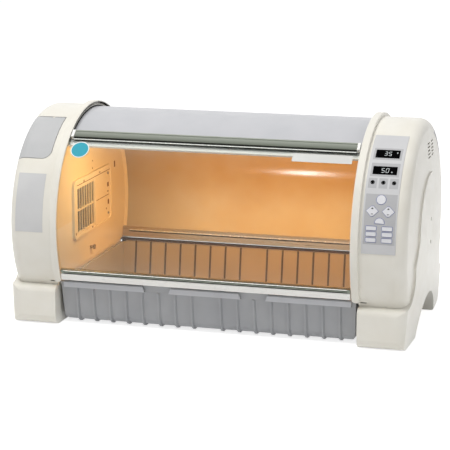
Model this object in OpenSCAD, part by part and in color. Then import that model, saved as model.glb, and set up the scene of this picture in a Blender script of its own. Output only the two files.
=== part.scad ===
// Drum-shaped brooder box: two domed end caps on feet, a roof sheet and rails between them,
// a clear curved door that swings up over the roof, and a ribbed tray that pulls out below it.
// Millimetres. +X runs along the drum to the control end, +Y to the back, +Z up.
// The origin lies on the floor below the middle of the drum axis.
// Angles on the drum start at the front, level with the axis, and grow upwards over the top.

/* [Overall] */
// Overall width across the two domed ends
overall_w = 900; // [880:2:940]
// Height of the drum axis above the floor
axis_h = 214; // [208:1:224]
// Outer radius of the two rims
rim_r = 250; // [244:1:256]
// Width of each end, from the rim's inner edge to the top of its domed side
end_w = 128.5; // [124:0.5:134]

/* [End frames] */
// Width of each rim along the drum
rim_w = 16; // [14:0.5:18]
// Thickness of the rim's outer lip
lip_t = 2.5; // [2:0.1:3.5]
// Depth of the door track behind the rim's edge
track_d = 9.5; // [7:0.5:11]
// Thickness of the ridge between the door track and the roof slot
ridge_t = 1.5; // [1:0.1:2]
// Thickness of the foot's inner side plate
skirt_t = 3; // [2:0.5:4]
// Depth of the walls' lower edge below the axis
wall_drop = 111; // [108:0.5:114]
// Angle of the rims' lower ends below the front
rim_end_a = 27.5; // [26:0.5:29]

/* [End covers] */
// Step from the rim down to the cover
cover_step = 8.5; // [6:0.5:10]
// Wall thickness of the cover
cover_t = 3; // [2.5:0.1:3.5]
// Radius of the cover's outer edge
edge_r = 26; // [22:1:30]
// Rise of the domed side
dome_h = 10; // [6:0.5:12]
// Height of the stand above the domed side
stand_step = 3; // [2:0.5:4]
// Radius of the stand's round upper part
stand_r = 127; // [115:1:135]
// Radius of the shallow dish in the side
dish_r = 73; // [60:1:85]
// Depth of the dish
dish_d = 1.4; // [0.8:0.1:1.6]
// Reach of the feet from the axis, front and back
foot_y = 230; // [222:1:236]
// Height of the feet's shoulders
foot_h = 88; // [80:1:94]
// Radius of the feet's lower edges
foot_low_r = 22; // [14:1:28]
// Radius of the feet's upper edges
foot_top_r = 14; // [8:1:18]
// Radius of the feet's outer corners
foot_corner_r = 26; // [16:1:30]
// Radius of the feet's outer lower edges
sole_edge_r = 10; // [6:1:14]
// Radius of the concave sweep from the stand to the foot
sweep_r = 60; // [50:1:70]
// Radius of the hand-hold arch
arch_r = 140; // [130:1:150]
// Height of the hand-hold arch
arch_h = 74; // [66:1:80]
// Thickness of the rubber pads
pad_t = 1.5; // [1:0.25:2.5]
// Length of a vent slot
vent_len = 26; // [20:1:32]
// Height of a vent slot
vent_gap = 3.6; // [3:0.1:4]
// Spacing of the vent slots
vent_pitch = 7.5; // [6.5:0.1:8.5]

/* [Roof and rails] */
// Thickness of the roof sheet
roof_t = 3; // [2:0.5:4]
// Clearance from the roof sheet to the track ridge
roof_gap = 2.8; // [1:0.1:3]
// Angle of the roof's front edge
roof_front_a = 52.8; // [52:0.2:53.6]
// Angle of the roof's rear edge
roof_rear_a = 201.2; // [198:0.2:203]
// Height of the roof's front rail
front_rail_h = 10; // [9:0.5:12]
// Height of the seal strip below it
seal_h = 9.5; // [7:0.5:11]
// Height of the rear rail
rear_rail_h = 25; // [20:0.5:27]

/* [Door] */
// Thickness of the clear panel
door_t = 3; // [2:0.5:4]
// Clearance from the panel to the rim's lip
door_play = 2.5; // [1.5:0.1:3]
// Clearance from the panel to the track ridge
door_under = 0.4; // [0.3:0.1:1]
// Clearance at each end of the panel
door_end_gap = 2; // [1:0.5:3]
// Angle of the panel's upper edge
door_top_a = 51.8; // [51.4:0.2:53]
// Angle of the panel's lower edge
door_low_a = -20.3; // [-20.5:0.1:-19]
// Height of the door's top rail
top_rail_h = 19.5; // [16:0.5:22]
// Height of the door's lower rail
low_rail_h = 8.5; // [7:0.5:9]
// Height of the handle bar
handle_h = 17.5; // [14:0.5:18]
// Length of the rails' end caps
cap_len = 6; // [4:0.5:9]
// Clearance from the end caps to the rims
cap_gap = 2; // [1:0.5:3]
// Diameter of the round badge
badge_d = 42; // [30:1:50]
// Length of the name plate
plate_len = 128; // [100:1:140]
// Height of the name plate
plate_h = 21; // [15:1:24]

/* [Tray] */
// Overall height of the tray from its floor to its top
tray_h = 94; // [84:0.5:95]
// Depth of the tray from front wall to back wall
tray_d = 411; // [396:1:420]
// Wall thickness of the tray
tray_t = 3; // [2:0.5:4]
// Clearance from the tray's side to the runner
tray_gap = 2; // [1.5:0.5:3]
// Width of the runners and of the tray's flanges
runner_w = 4.5; // [3.5:0.5:6]
// Lean of the front and back walls from top to bottom
tray_lean = 14; // [6:1:18]
// Lean of the side walls from top to bottom
tray_draft = 3; // [1:0.5:5]
// Clearance above and below the tray's flanges
slide_gap = 0.5; // [0.3:0.1:1]
// Radius of the tray's lower corners
tray_r = 14; // [8:1:20]
// Distance of the outermost ribs from the tray's sides
rib_end = 35.3; // [30:0.1:40]
// Space between the two middle ribs
rib_mid = 64.6; // [56:0.2:68]
// Width of the ribs at their foot
rib_w = 7.6; // [5:0.2:9]
// Depth of the ribs
rib_d = 4; // [3:0.2:4.6]
// Width of the grooves inside the tray behind the ribs
groove_w = 3.2; // [2.4:0.2:4]
// Radius from the front and back walls to the floor
sole_r = 22; // [12:1:28]
// Swell of that round past the wall and the floor
sole_swell = 0.1; // [0.05:0.05:0.3]
// Height of the front lip
lip_h = 14.6; // [12:0.2:17]
// Depth of the front lip
lip_d = 8; // [5:0.5:9]
// Width of a finger recess in the lip
finger_w = 64.5; // [50:0.5:70]

/* [Lids] */
// Angle of the lids' lower edge
lid_low_a = 38.5; // [36:0.5:42]
// Angle of the lids' hinge
lid_hinge_a = 68.5; // [66:0.5:70]
// Distance of a lid's edge from the rim
lid_inset = 18.5; // [14:0.5:22]
// Thickness of a lid
lid_t = 2.5; // [2:0.1:3]
// Radius of a lid's lower inner corner
lid_corner_r = 20; // [10:1:26]
// Gap around a lid
lid_gap = 1.4; // [1:0.1:2]
// Radius of the lids' hinge barrel
lid_barrel_r = 3.2; // [3:0.1:3.4]
// Depth of the hinge barrel below the lid's face
lid_barrel_drop = 0.15; // [0.1:0.05:0.3]
// Radius of the lids' hinge pin
lid_pin_r = 1.2; // [1:0.1:1.4]
// Widest opening of the lids
lid_open_a = 65; // [50:1:65]
// Running clearance of the hinge pin
pin_play = 0.08; // [0.03:0.01:0.1]

/* [Controls] */
// Width of the control panel's overlay
panel_w = 71.5; // [70:0.5:74]
// Thickness of the overlay
panel_t = 1; // [0.6:0.1:1.5]
// Angle of the overlay's lower edge
panel_low_a = -0.8; // [-2:0.2:0.4]
// Angle of the overlay's upper edge
panel_top_a = 65.2; // [62:0.2:67]
// Thickness of the display windows
window_t = 0.6; // [0.4:0.1:1]
// Width of the display windows
window_w = 50.5; // [44:0.5:54]
// Clearance around the keys
key_gap = 0.4; // [0.35:0.05:0.6]
// Height of the keys above the overlay
key_rise = 0.9; // [0.7:0.1:1.2]
// Travel left under the keys
key_room = 0.9; // [0.9:0.1:1.5]
// Width of a small key
small_key_w = 21; // [18:0.5:23]
// Height of a small key
small_key_h = 8; // [6:0.5:9]
// Width across a rocker key
rocker_w = 25; // [22:0.5:26]
// Width across the power key
power_w = 19; // [16:0.5:21]

/* [Heating end] */
// Width of the heater panel
heater_w = 246; // [230:1:256]
// Height of the heater panel
heater_h = 134; // [126:1:140]
// Thickness of the heater panel
heater_t = 6; // [4:0.5:8]
// Width of the grille
grille_w = 116.5; // [110:0.5:118]
// Height of the grille
grille_h = 110; // [104:1:114]
// Thickness of the grille
grille_t = 3; // [2:0.5:4]
// Clearance around the grille
grille_gap = 0.4; // [0.2:0.1:0.8]
// Bore radius of the fan shroud
fan_bore_r = 47; // [44:0.5:49]
// Clearance from the fan blades to the bore
fan_gap = 3; // [2:0.5:4]
// Radius of the fan's hub
hub_r = 17; // [14:0.5:20]
// Radius of the fan's shaft
shaft_r = 2; // [1.5:0.1:3]

/* [Hidden] */
$fn = 96;

ivory = [0.93, 0.91, 0.85];
roof_grey = [0.78, 0.79, 0.81];
tray_grey = [0.59, 0.6, 0.62];
aluminium = [0.66, 0.69, 0.66];
white = [0.95, 0.95, 0.94];
black = [0.05, 0.05, 0.06];
rubber = [0.16, 0.16, 0.17];
steel = [0.6, 0.6, 0.62];

// Planes along the drum
rim_x = overall_w / 2 - end_w;
wall_x = rim_x + track_d;
rim_out_x = rim_x + rim_w;
skirt_x = rim_out_x - skirt_t;
dome_x = overall_w / 2 - stand_step;
side_x = dome_x - dome_h;

// Radii from the rim inwards
lip_in_r = rim_r - lip_t;
door_out_r = lip_in_r - door_play;
door_in_r = door_out_r - door_t;
ridge_out_r = door_in_r - door_under;
ridge_in_r = ridge_out_r - ridge_t;
roof_out_r = ridge_in_r - roof_gap;
roof_in_r = roof_out_r - roof_t;
cover_r = rim_r - cover_step;
side_r = cover_r - edge_r;
dome_r = (side_r * side_r + dome_h * dome_h) / (2 * dome_h);

// Heights
wall_z = axis_h - wall_drop;
tray_top = wall_z - 1.7;
tray_low = tray_top - tray_h;
flange_z = tray_top - 9;

// Tray
tray_x = skirt_x - runner_w - tray_gap;
tray_front = -(tray_d / 2 + 2.5);
tray_back = tray_front + tray_d;
tray_mid = (tray_front + tray_back) / 2;
finger_x = rim_x / 3;
rib_last = 7;
rib_pitch = (tray_x - rib_end - rib_mid / 2) / rib_last;
lean_a = atan(tray_lean / tray_h);
sole_z = tray_low + sole_r;
sole_y = tray_front + sole_r * cos(lean_a) + (tray_top - sole_z + sole_r * sin(lean_a)) * tan(lean_a);

// Lid hinge
lid_x = rim_out_x + lid_inset;
lid_hinge_r = cover_r - lid_barrel_r - lid_barrel_drop;
lid_fillet_x = side_x - edge_r;
lid_depth = lid_barrel_r + lid_barrel_drop;
lid_turn = sqrt(edge_r * edge_r - (edge_r - lid_depth) * (edge_r - lid_depth));
lid_swing_r = lid_depth / cos(lid_open_a / 2) + 0.15;

// Lamp sockets, and the badge and plate on the door
lamp_left = 71.5 - rim_x;
lamp_right = rim_x / 7;
badge_x = 30.5 - rim_x;
plate_x = rim_x - 77.5;

// Control panel
panel_x = rim_out_x + 6 + panel_w / 2;
panel_r = cover_r + panel_t;
key_low_r = cover_r - cover_t - 1;
small_key_a = [11.8, 9, 6.1];

// Heating end, on the side of the drum with positive X and mirrored afterwards
heater_y = -3;
heater_z = axis_h + 21;
grille_y = -45.5;
grille_edge = 5.5;
grille_bar = 3.5;
grille_z = axis_h + 17.5;
fan_shroud_w = 2 * fan_bore_r + 14;
fan_depth = 38;

// Tank above the fan, and the filter opposite
tank_z = grille_z + fan_shroud_w / 2 + 10.5;
tank_top = axis_h + cover_r - 83.5;

// Extrudes a YZ outline along X.
module along_x(x0, x1) {
    translate([x0, 0, 0])
        rotate([90, 0, 90])
            linear_extrude(x1 - x0)
                children();
}

// Extrudes an XZ outline along Y.
module along_y(y0, y1) {
    translate([0, y1, 0])
        rotate([90, 0, 0])
            linear_extrude(y1 - y0)
                children();
}

// Turns a profile of radius and X position about the drum axis between two angles.
module drum_sweep(a0, a1) {
    translate([0, 0, axis_h])
        rotate([0, 90, 0])
            rotate([0, 0, 270 - a1])
                rotate_extrude(angle = a1 - a0)
                    children();
}

// Sets a piece on the drum: local Z points outwards and local Y upwards along the surface.
module on_drum(x, a, r) {
    translate([x, 0, axis_h])
        rotate([90 - a, 0, 0])
            translate([0, 0, r])
                children();
}

// Sets a rail's section on the drum: 2-D X is the radius, 2-D Y runs down along the surface.
module rail_section(a) {
    translate([0, axis_h])
        rotate(180 - a)
            children();
}

// A rectangle between two corners.
module box2(x0, y0, x1, y1) {
    translate([x0, y0])
        square([x1 - x0, y1 - y0]);
}

// A box between two corners.
module box3(low, high) {
    translate(low)
        cube(high - low);
}

// A rectangle about the origin with round corners.
module round_rect(w, h, r) {
    square([w - 2 * r, h], center = true);
    square([w, h - 2 * r], center = true);
    for (sx = [-1, 1], sy = [-1, 1])
        translate([sx * (w / 2 - r), sy * (h / 2 - r)])
            circle(r);
}

// Radius and X profile of a cover's drum, shrunk by an inset, with its rounded edge and domed side.
module drum_profile(inset, x0) {
    box2(0, x0, cover_r - inset, side_x - edge_r);
    box2(0, x0, side_r, side_x - inset);
    translate([side_r, side_x - edge_r])
        circle(edge_r - inset);
    intersection() {
        box2(0, x0, side_r, dome_x + 1);
        translate([0, dome_x - dome_r])
            circle(dome_r - inset, $fn = 200);
    }
}

// Side outline of the stand, shrunk by an inset: a round top, two swept legs and rounded feet.
module stand_outline(inset) {
    low_r = foot_low_r - inset;
    top_r = foot_top_r - inset;
    reach = foot_y - inset;
    sole = pad_t + inset;
    top = foot_h - inset;
    difference() {
        union() {
            translate([0, axis_h])
                circle(stand_r - inset);
            box2(-(reach - low_r), sole, reach - low_r, top);
            box2(-reach, sole + low_r, reach, top - top_r);
            box2(-(reach - top_r - 0.5), sole + low_r, reach - top_r - 0.5, top - 0.5);
            for (s = [-1, 1]) {
                translate([s * (reach - low_r), sole + low_r])
                    circle(low_r);
                translate([s * (reach - top_r), top - top_r])
                    circle(top_r);
            }
            difference() {
                polygon([[-(foot_y - foot_top_r), top - 1], [-(foot_y - foot_top_r), top],
                    [-stand_r + inset + 1, axis_h], [stand_r - inset - 1, axis_h],
                    [foot_y - foot_top_r, top], [foot_y - foot_top_r, top - 1]]);
                for (s = [-1, 1])
                    translate([s * (foot_y - foot_top_r), foot_h + sweep_r])
                        circle(sweep_r + inset);
            }
        }
        translate([0, arch_h - arch_r])
            circle(arch_r + inset);
    }
}

// Solid form of the stand, shrunk by an inset and started at a given X.
module stand_form(inset, x0) {
    corner_r = foot_corner_r - inset;
    edge = sole_edge_r - inset;
    outer = overall_w / 2;
    sphere_r = (240 * 240 + dome_h * dome_h) / (2 * dome_h);
    reach = foot_y - inset;
    foot_x = outer - dome_h + 2 - inset;
    intersection() {
        along_x(x0, outer)
            stand_outline(inset);
        translate([outer - sphere_r, 0, axis_h])
            sphere(sphere_r - inset, $fn = 200);
        linear_extrude(axis_h + stand_r + 10)
            union() {
                box2(x0 - 1, -reach, foot_x - corner_r, reach);
                box2(x0 - 1, -(reach - corner_r), outer + 5, reach - corner_r);
                for (s = [-1, 1])
                    translate([foot_x - corner_r, s * (reach - corner_r)])
                        circle(corner_r);
            }
        along_y(-foot_y - 5, foot_y + 5)
            union() {
                box2(x0 - 1, -5, foot_x - edge, axis_h + stand_r + 10);
                box2(x0 - 1, pad_t + inset + edge - 0.5, outer + 5, axis_h + stand_r + 10);
                translate([foot_x - edge, pad_t + inset + edge - 0.5])
                    circle(edge);
            }
    }
}

// What a lid's round corner leaves of a square one, with the corner radius grown by a gap.
module lid_corner(gap) {
    on_drum(lid_x, lid_low_a, cover_r - 9)
        difference() {
            translate([-4, -4, 0])
                cube([lid_corner_r + 4, lid_corner_r + 4, 14]);
            translate([lid_corner_r - 0.2, lid_corner_r - 0.2, -1])
                cylinder(r = lid_corner_r + gap, h = 16);
        }
}

// Opening in a cover under a lid, on the front of the positive X end.
module lid_cut() {
    difference() {
        drum_sweep(lid_low_a - 0.35, lid_hinge_a + 0.1)
            box2(side_r - lid_gap, lid_x - lid_gap, rim_r, overall_w);
        lid_corner(lid_gap);
    }
    on_drum(lid_x - lid_gap, lid_hinge_a, lid_hinge_r)
        rotate([0, 90, 0])
            cylinder(r = lid_swing_r, h = lid_fillet_x - lid_x + lid_turn + lid_gap + 0.5);
}

// Ledges under a lid, with the middle hinge knuckle and its pin.
module lid_seat() {
    knuckle_x = (lid_x + lid_fillet_x) / 2;
    drum_sweep(lid_low_a, lid_hinge_a - 4)
        box2(cover_r - cover_t - 3.4, lid_x - 6, cover_r - cover_t - 0.6, lid_x + 5);
    drum_sweep(lid_low_a, lid_hinge_a - 4)
        box2(cover_r - cover_t - 3.4, lid_x - 6, cover_r - cover_t + 0.5, lid_x - lid_gap);
    drum_sweep(lid_low_a - 2, lid_low_a + 1.2)
        box2(cover_r - cover_t - 3.4, lid_x - 6, cover_r - cover_t - 0.6, lid_fillet_x);
    drum_sweep(lid_low_a - 2, lid_low_a - 0.35)
        box2(cover_r - cover_t - 3.4, lid_x - 6, cover_r - cover_t + 0.5, lid_fillet_x);
    on_drum(knuckle_x, lid_hinge_a, lid_hinge_r) {
        rotate([0, 90, 0])
            cylinder(r = lid_barrel_r - 0.3, h = 5, center = true);
        translate([-2.5, 0, -lid_barrel_r + 0.6])
            cube([5, 11, lid_barrel_r + 1.5]);
        rotate([0, 90, 0])
            cylinder(r = lid_pin_r, h = lid_fillet_x - lid_x - 4, center = true);
    }
}

// One lid on the front of the positive X end: a curved plate that turns the cover's edge.
module lid_form() {
    knuckle_x = (lid_x + lid_fillet_x) / 2;
    difference() {
        union() {
            drum_sweep(lid_low_a, lid_hinge_a)
                intersection() {
                    difference() {
                        drum_profile(0, rim_out_x);
                        drum_profile(lid_t, rim_out_x - 1);
                    }
                    box2(side_r, lid_x, rim_r, overall_w);
                }
            on_drum(lid_x, lid_hinge_a, lid_hinge_r)
                rotate([0, 90, 0])
                    cylinder(r = lid_barrel_r, h = lid_fillet_x - lid_x - 1);
            intersection() {
                on_drum(lid_fillet_x - 2, lid_hinge_a, lid_hinge_r)
                    rotate([0, 90, 0])
                        cylinder(r = lid_barrel_r, h = lid_turn + 2);
                drum_sweep(lid_hinge_a - 3, lid_hinge_a + 3)
                    drum_profile(lid_barrel_drop, rim_out_x);
            }
        }
        lid_corner(0);
        on_drum(lid_x - 1, lid_hinge_a, lid_hinge_r)
            rotate([0, 90, 0])
                cylinder(r = lid_pin_r + pin_play, h = lid_fillet_x - lid_x + 1);
        on_drum(knuckle_x - 2.9, lid_hinge_a, lid_hinge_r)
            translate([0, -lid_barrel_r - 0.5, -lid_barrel_r - 1])
                cube([5.8, 2 * lid_barrel_r + 1.5, 2 * lid_barrel_r + 3]);
    }
}

// One end cover on the positive X end, without its panel or lid openings.
module cover_shell() {
    difference() {
        union() {
            difference() {
                drum_sweep(0, 360)
                    drum_profile(0, rim_out_x);
                box3([0, -rim_r, -rim_r], [overall_w, rim_r, foot_h - 8]);
                translate([0, 0, arch_h - arch_r])
                    rotate([0, 90, 0])
                        cylinder(r = arch_r, h = overall_w);
            }
            stand_form(0, rim_out_x);
        }
        difference() {
            union() {
                difference() {
                    drum_sweep(0, 360)
                        drum_profile(cover_t, rim_out_x - 1);
                    box3([0, -rim_r, -rim_r], [overall_w, rim_r, foot_h - 8]);
                    translate([0, 0, arch_h - arch_r])
                        rotate([0, 90, 0])
                            cylinder(r = arch_r + cover_t, h = overall_w);
                }
                stand_form(cover_t, rim_out_x - 1);
            }
            for (s = [-1, 1])
                translate([side_x - 6, 0, axis_h + 25 * s])
                    rotate([0, 90, 0])
                        cylinder(r = 8, h = dome_h + 10);
        }
        // shallow dish with two screw seats
        translate([overall_w / 2 - dish_d + (dish_r * dish_r + dish_d * dish_d) / (2 * dish_d), 0, axis_h])
            sphere((dish_r * dish_r + dish_d * dish_d) / (2 * dish_d), $fn = 200);
        for (s = [-1, 1])
            translate([0, 0, axis_h + 25 * s])
                rotate([0, 90, 0]) {
                    translate([0, 0, dome_x - 2])
                        cylinder(r = 4.6, h = 20);
                    translate([0, 0, side_x - 20])
                        cylinder(r = 2.1, h = 60);
                }
        // vent slots in two columns
        for (y = [0, 44], i = [0:4]) {
            low = axis_h + side_r - 58 + i * vent_pitch;
            box3([side_x - 30, y - vent_len / 2, low], [overall_w / 2 + 5, y + vent_len / 2, low + vent_gap]);
        }
        // slit between the drum and the foot beside the rim
        box3([rim_out_x - 1, -rim_r, foot_h + 8.5], [rim_out_x + 14, -foot_y + 45, foot_h + 11]);
    }
}

// Outline of a small key, a rocker key, the power key or the select key, grown by an amount.
module small_outline(grow) {
    round_rect(small_key_w + 2 * grow, small_key_h + 2 * grow, 1.5 + grow);
}

module rocker_outline(grow) {
    half = rocker_w / 2 + grow;
    polygon([[-half, 0], [-2.5, half - 2.5], [2.5, half - 2.5], [half, 0], [2.5, -half + 2.5],
        [-2.5, -half + 2.5]]);
}

module power_outline(grow) {
    circle(power_w / 2 + grow);
}

module select_outline(grow) {
    intersection() {
        translate([0, -4])
            circle(9.5 + grow);
        box2(-12, -5.5 - grow, 12, 12);
    }
}

// All key openings through the overlay and the cover.
module key_cuts() {
    on_drum(panel_x, 25.9, key_low_r - 2)
        linear_extrude(12)
            power_outline(key_gap);
    for (s = [-1, 1])
        on_drum(panel_x + 16.7 * s, 20.1, key_low_r - 2)
            linear_extrude(12)
                rocker_outline(key_gap);
    on_drum(panel_x, 15.5, key_low_r - 2)
        linear_extrude(12)
            select_outline(key_gap);
    for (s = [-1, 1], a = small_key_a)
        on_drum(panel_x + 16.6 * s, a, key_low_r - 2)
            linear_extrude(12)
                small_outline(key_gap);
}

// A key's body from its outline.
module key_body() {
    linear_extrude(panel_r + key_rise - key_low_r)
        children();
}

module small_key(s, a) {
    color(white)
        on_drum(panel_x + 16.6 * s, a, key_low_r)
            key_body()
                small_outline(0);
}

module rocker_key(s) {
    color(white)
        on_drum(panel_x + 16.7 * s, 20.1, key_low_r) {
            key_body()
                rocker_outline(0);
            // round ridge that the key rocks on
            rotate([0, 90, 0])
                cylinder(r = key_room - 0.3, h = rocker_w - 8, center = true);
        }
}

module power_key() {
    color(white)
        on_drum(panel_x, 25.9, key_low_r)
            key_body()
                power_outline(0);
}

module select_key() {
    color(white)
        on_drum(panel_x, 15.5, key_low_r)
            key_body()
                select_outline(0);
}

// One end frame on the positive X end: chamber wall, rim with door track and the foot's inner plate.
module end_frame() {
    difference() {
        union() {
            intersection() {
                along_x(wall_x, rim_out_x)
                    translate([0, axis_h])
                        circle(lip_in_r + lip_t / 2);
                box3([0, -rim_r, wall_z], [overall_w, rim_r, axis_h + rim_r]);
            }
            drum_sweep(-rim_end_a, 180 + rim_end_a)
                polygon([[lip_in_r, rim_x], [rim_r - 1, rim_x], [rim_r, rim_x + 1], [rim_r, rim_out_x - 1],
                    [rim_r - 1, rim_out_x], [lip_in_r, rim_out_x]]);
            drum_sweep(-rim_end_a + 0.5, 180 + rim_end_a - 0.5)
                box2(ridge_in_r, rim_x + 2, ridge_out_r, wall_x + 0.5);
            drum_sweep(roof_front_a + 0.4, roof_rear_a - 0.4)
                box2(roof_in_r - 3, rim_x + 2, roof_in_r - 0.3, wall_x + 0.5);
            intersection() {
                along_x(skirt_x, rim_out_x)
                    union() {
                        translate([0, axis_h])
                            circle(cover_r - 0.3);
                        stand_outline(0);
                    }
                box3([0, -rim_r, pad_t], [overall_w, rim_r, axis_h]);
            }
            box3([tray_x + tray_gap, tray_front + 14, flange_z - 4.5], [skirt_x + 0.5, tray_back - 4, flange_z]);
        }
        // round lower corner of the rim
        for (s = [0, 1])
            mirror([0, s, 0])
                on_drum(rim_x, -rim_end_a, lip_in_r - 1)
                    difference() {
                        translate([-1, -1, 0])
                            cube([9, 9, 6]);
                        translate([8, 8, -1])
                            cylinder(r = 8, h = 8);
                    }
        // gap under the plate between the feet
        box3([0, -arch_r + 30, -1], [overall_w, arch_r - 30, pad_t + 6]);
    }
}

module left_end_frame() {
    color(ivory)
        mirror([1, 0, 0])
            difference() {
                end_frame();
                half_w = grille_w / 2 - grille_edge;
                half_h = grille_h / 2 - grille_edge;
                box3([wall_x - 1, grille_y - half_w, grille_z - half_h],
                    [rim_out_x + 1, grille_y + half_w, grille_z + half_h]);
            }
}

module right_end_frame() {
    color(ivory)
        end_frame();
}

module left_end_cover() {
    color(ivory)
        mirror([1, 0, 0]) {
            difference() {
                cover_shell();
                lid_cut();
            }
            lid_seat();
        }
}

module right_end_cover() {
    color(ivory) {
        difference() {
            cover_shell();
            mirror([0, 1, 0])
                lid_cut();
            key_cuts();
            translate([rim_out_x + 45, foot_y - cover_t - 1, foot_h / 2 + 4])
                rotate([-90, 0, 0])
                    cylinder(r = 7, h = 10);
        }
        mirror([0, 1, 0])
            lid_seat();
    }
}

module rubber_pads() {
    color(rubber)
        for (sx = [-1, 1], sy = [-1, 1])
            translate([sx * (rim_out_x + 48), sy * (foot_y - foot_low_r - 30), 0])
                linear_extrude(pad_t)
                    round_rect(70, 44, 8);
}

module cover_screws() {
    color(steel)
        for (sx = [0, 1], sz = [-1, 1])
            mirror([sx, 0, 0])
                translate([0, 0, axis_h + 25 * sz])
                    rotate([0, 90, 0])
                        difference() {
                            union() {
                                translate([0, 0, dome_x - 2])
                                    cylinder(r = 4.2, h = 2.2);
                                translate([0, 0, side_x - 4])
                                    cylinder(r = 2, h = dome_x - side_x + 2.5);
                            }
                            for (a = [0, 90])
                                rotate([0, 0, a])
                                    translate([-2.4, -0.5, dome_x - 1])
                                        cube([4.8, 1, 5]);
                        }
}

module roof_shell() {
    color(roof_grey)
        drum_sweep(roof_front_a, roof_rear_a)
            box2(roof_in_r, -wall_x, roof_out_r, wall_x);
}

module roof_front_rail() {
    color(aluminium)
        along_x(-wall_x, wall_x)
            rail_section(roof_front_a)
                difference() {
                    box2(roof_in_r - 4, 0, roof_out_r + 0.7, front_rail_h);
                    box2(roof_out_r - 0.2, 2, roof_out_r + 2, front_rail_h - 3.5);
                }
}

module roof_seal_strip() {
    color(white)
        along_x(-wall_x, wall_x)
            rail_section(roof_front_a)
                box2(roof_in_r - 3, front_rail_h, roof_out_r - 0.8, front_rail_h + seal_h);
}

// Section of the rear rail, hung from the roof's rear edge.
module rear_rail_section() {
    rail_section(roof_rear_a)
        difference() {
            box2(roof_in_r - 6, -rear_rail_h, roof_out_r - 0.8, 0);
            box2(roof_in_r - 7, -rear_rail_h + 7, roof_in_r - 4.5, -7);
        }
}

module rear_rail() {
    color(aluminium)
        along_x(-wall_x + 14, wall_x - 14)
            rear_rail_section();
}

module rear_rail_ends() {
    color(white) {
        along_x(-wall_x, -wall_x + 14)
            rear_rail_section();
        along_x(wall_x - 14, wall_x)
            rear_rail_section();
    }
}

module heater_panel() {
    color(ivory)
        mirror([1, 0, 0])
            difference() {
                union() {
                    along_x(wall_x - heater_t + 2, wall_x)
                        translate([heater_y, heater_z])
                            round_rect(heater_w, heater_h, 14);
                    along_x(wall_x - heater_t, wall_x)
                        translate([heater_y, heater_z])
                            difference() {
                                round_rect(heater_w, heater_h, 14);
                                round_rect(heater_w - 12, heater_h - 12, 9);
                            }
                }
                along_x(wall_x - heater_t - 1, wall_x + 1)
                    translate([grille_y, grille_z])
                        square([grille_w + 2 * grille_gap, grille_h + 2 * grille_gap], center = true);
                for (sz = [-1, 1])
                    translate([0, heater_y + heater_w / 2 - 22, heater_z + sz * (heater_h / 2 - 20)])
                        rotate([0, 90, 0])
                            cylinder(r = 1.6, h = wall_x + 1);
            }
}

module grille() {
    slots = 7;
    pitch = floor(2 * (grille_w - 2 * grille_edge - 0.5 + grille_bar) / slots + 0.01) / 2;
    row_h = floor(grille_h - 2 * grille_edge - 0.5 - grille_bar + 0.01) / 2;
    color(ivory)
        mirror([1, 0, 0])
            along_x(wall_x - grille_t, wall_x)
                translate([grille_y, grille_z])
                    difference() {
                        square([grille_w, grille_h], center = true);
                        for (i = [0:slots - 1], s = [-1, 1])
                            translate([(i - (slots - 1) / 2) * pitch, s * (row_h + grille_bar) / 2])
                                round_rect(pitch - grille_bar, row_h, 3);
                    }
}

module panel_screws() {
    color(steel)
        mirror([1, 0, 0])
            for (sz = [-1, 1])
                translate([0, heater_y + heater_w / 2 - 22, heater_z + sz * (heater_h / 2 - 20)])
                    rotate([0, 90, 0]) {
                        translate([0, 0, wall_x - heater_t + 0.2])
                            cylinder(r = 3.2, h = 1.8);
                        translate([0, 0, wall_x - heater_t + 1.9])
                            cylinder(r = 1.5, h = heater_t - 2.2);
                    }
}

module wall_peg() {
    color(ivory)
        mirror([1, 0, 0])
            translate([0, -13, axis_h - 83])
                rotate([0, 90, 0]) {
                    translate([0, 0, wall_x - 9])
                        cylinder(r = 3.5, h = 9);
                    translate([0, 0, wall_x - 11])
                        cylinder(r = 6, h = 3);
                }
}

module fan_shroud() {
    color(black)
        mirror([1, 0, 0])
            difference() {
                union() {
                    along_x(rim_out_x, rim_out_x + fan_depth)
                        translate([grille_y, grille_z])
                            difference() {
                                round_rect(fan_shroud_w, fan_shroud_w, 8);
                                circle(fan_bore_r);
                            }
                    along_x(rim_out_x + fan_depth - 4, rim_out_x + fan_depth)
                        translate([grille_y, grille_z])
                            for (a = [0, 90])
                                rotate(a)
                                    square([2 * fan_bore_r + 2, 8], center = true);
                }
                along_x(rim_out_x + fan_depth - 5, rim_out_x + fan_depth + 1)
                    translate([grille_y, grille_z])
                        circle(hub_r - 4);
            }
}

module fan_motor() {
    color(steel)
        mirror([1, 0, 0])
            translate([rim_out_x, grille_y, grille_z])
                rotate([0, 90, 0]) {
                    translate([0, 0, fan_depth])
                        cylinder(r = hub_r, h = 14);
                    translate([0, 0, fan_depth - 8])
                        cylinder(r = hub_r - 4.4, h = 9);
                    translate([0, 0, 8])
                        cylinder(r = shaft_r, h = fan_depth - 8);
                }
}

module fan_impeller() {
    color(tray_grey)
        mirror([1, 0, 0])
            translate([rim_out_x, grille_y, grille_z])
                rotate([0, 90, 0])
                    difference() {
                        union() {
                            translate([0, 0, 6])
                                cylinder(r = hub_r, h = 20);
                            intersection() {
                                for (i = [0:6])
                                    rotate([0, 0, i * 360 / 7])
                                        translate([hub_r - 2, 0, 16])
                                            rotate([38, 0, 0])
                                                translate([0, -14, -1])
                                                    cube([fan_bore_r, 28, 2]);
                                translate([0, 0, 6])
                                    cylinder(r = fan_bore_r - fan_gap, h = 20);
                            }
                        }
                        translate([0, 0, -1])
                            cylinder(r = shaft_r + pin_play, h = fan_depth);
                    }
}

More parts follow.
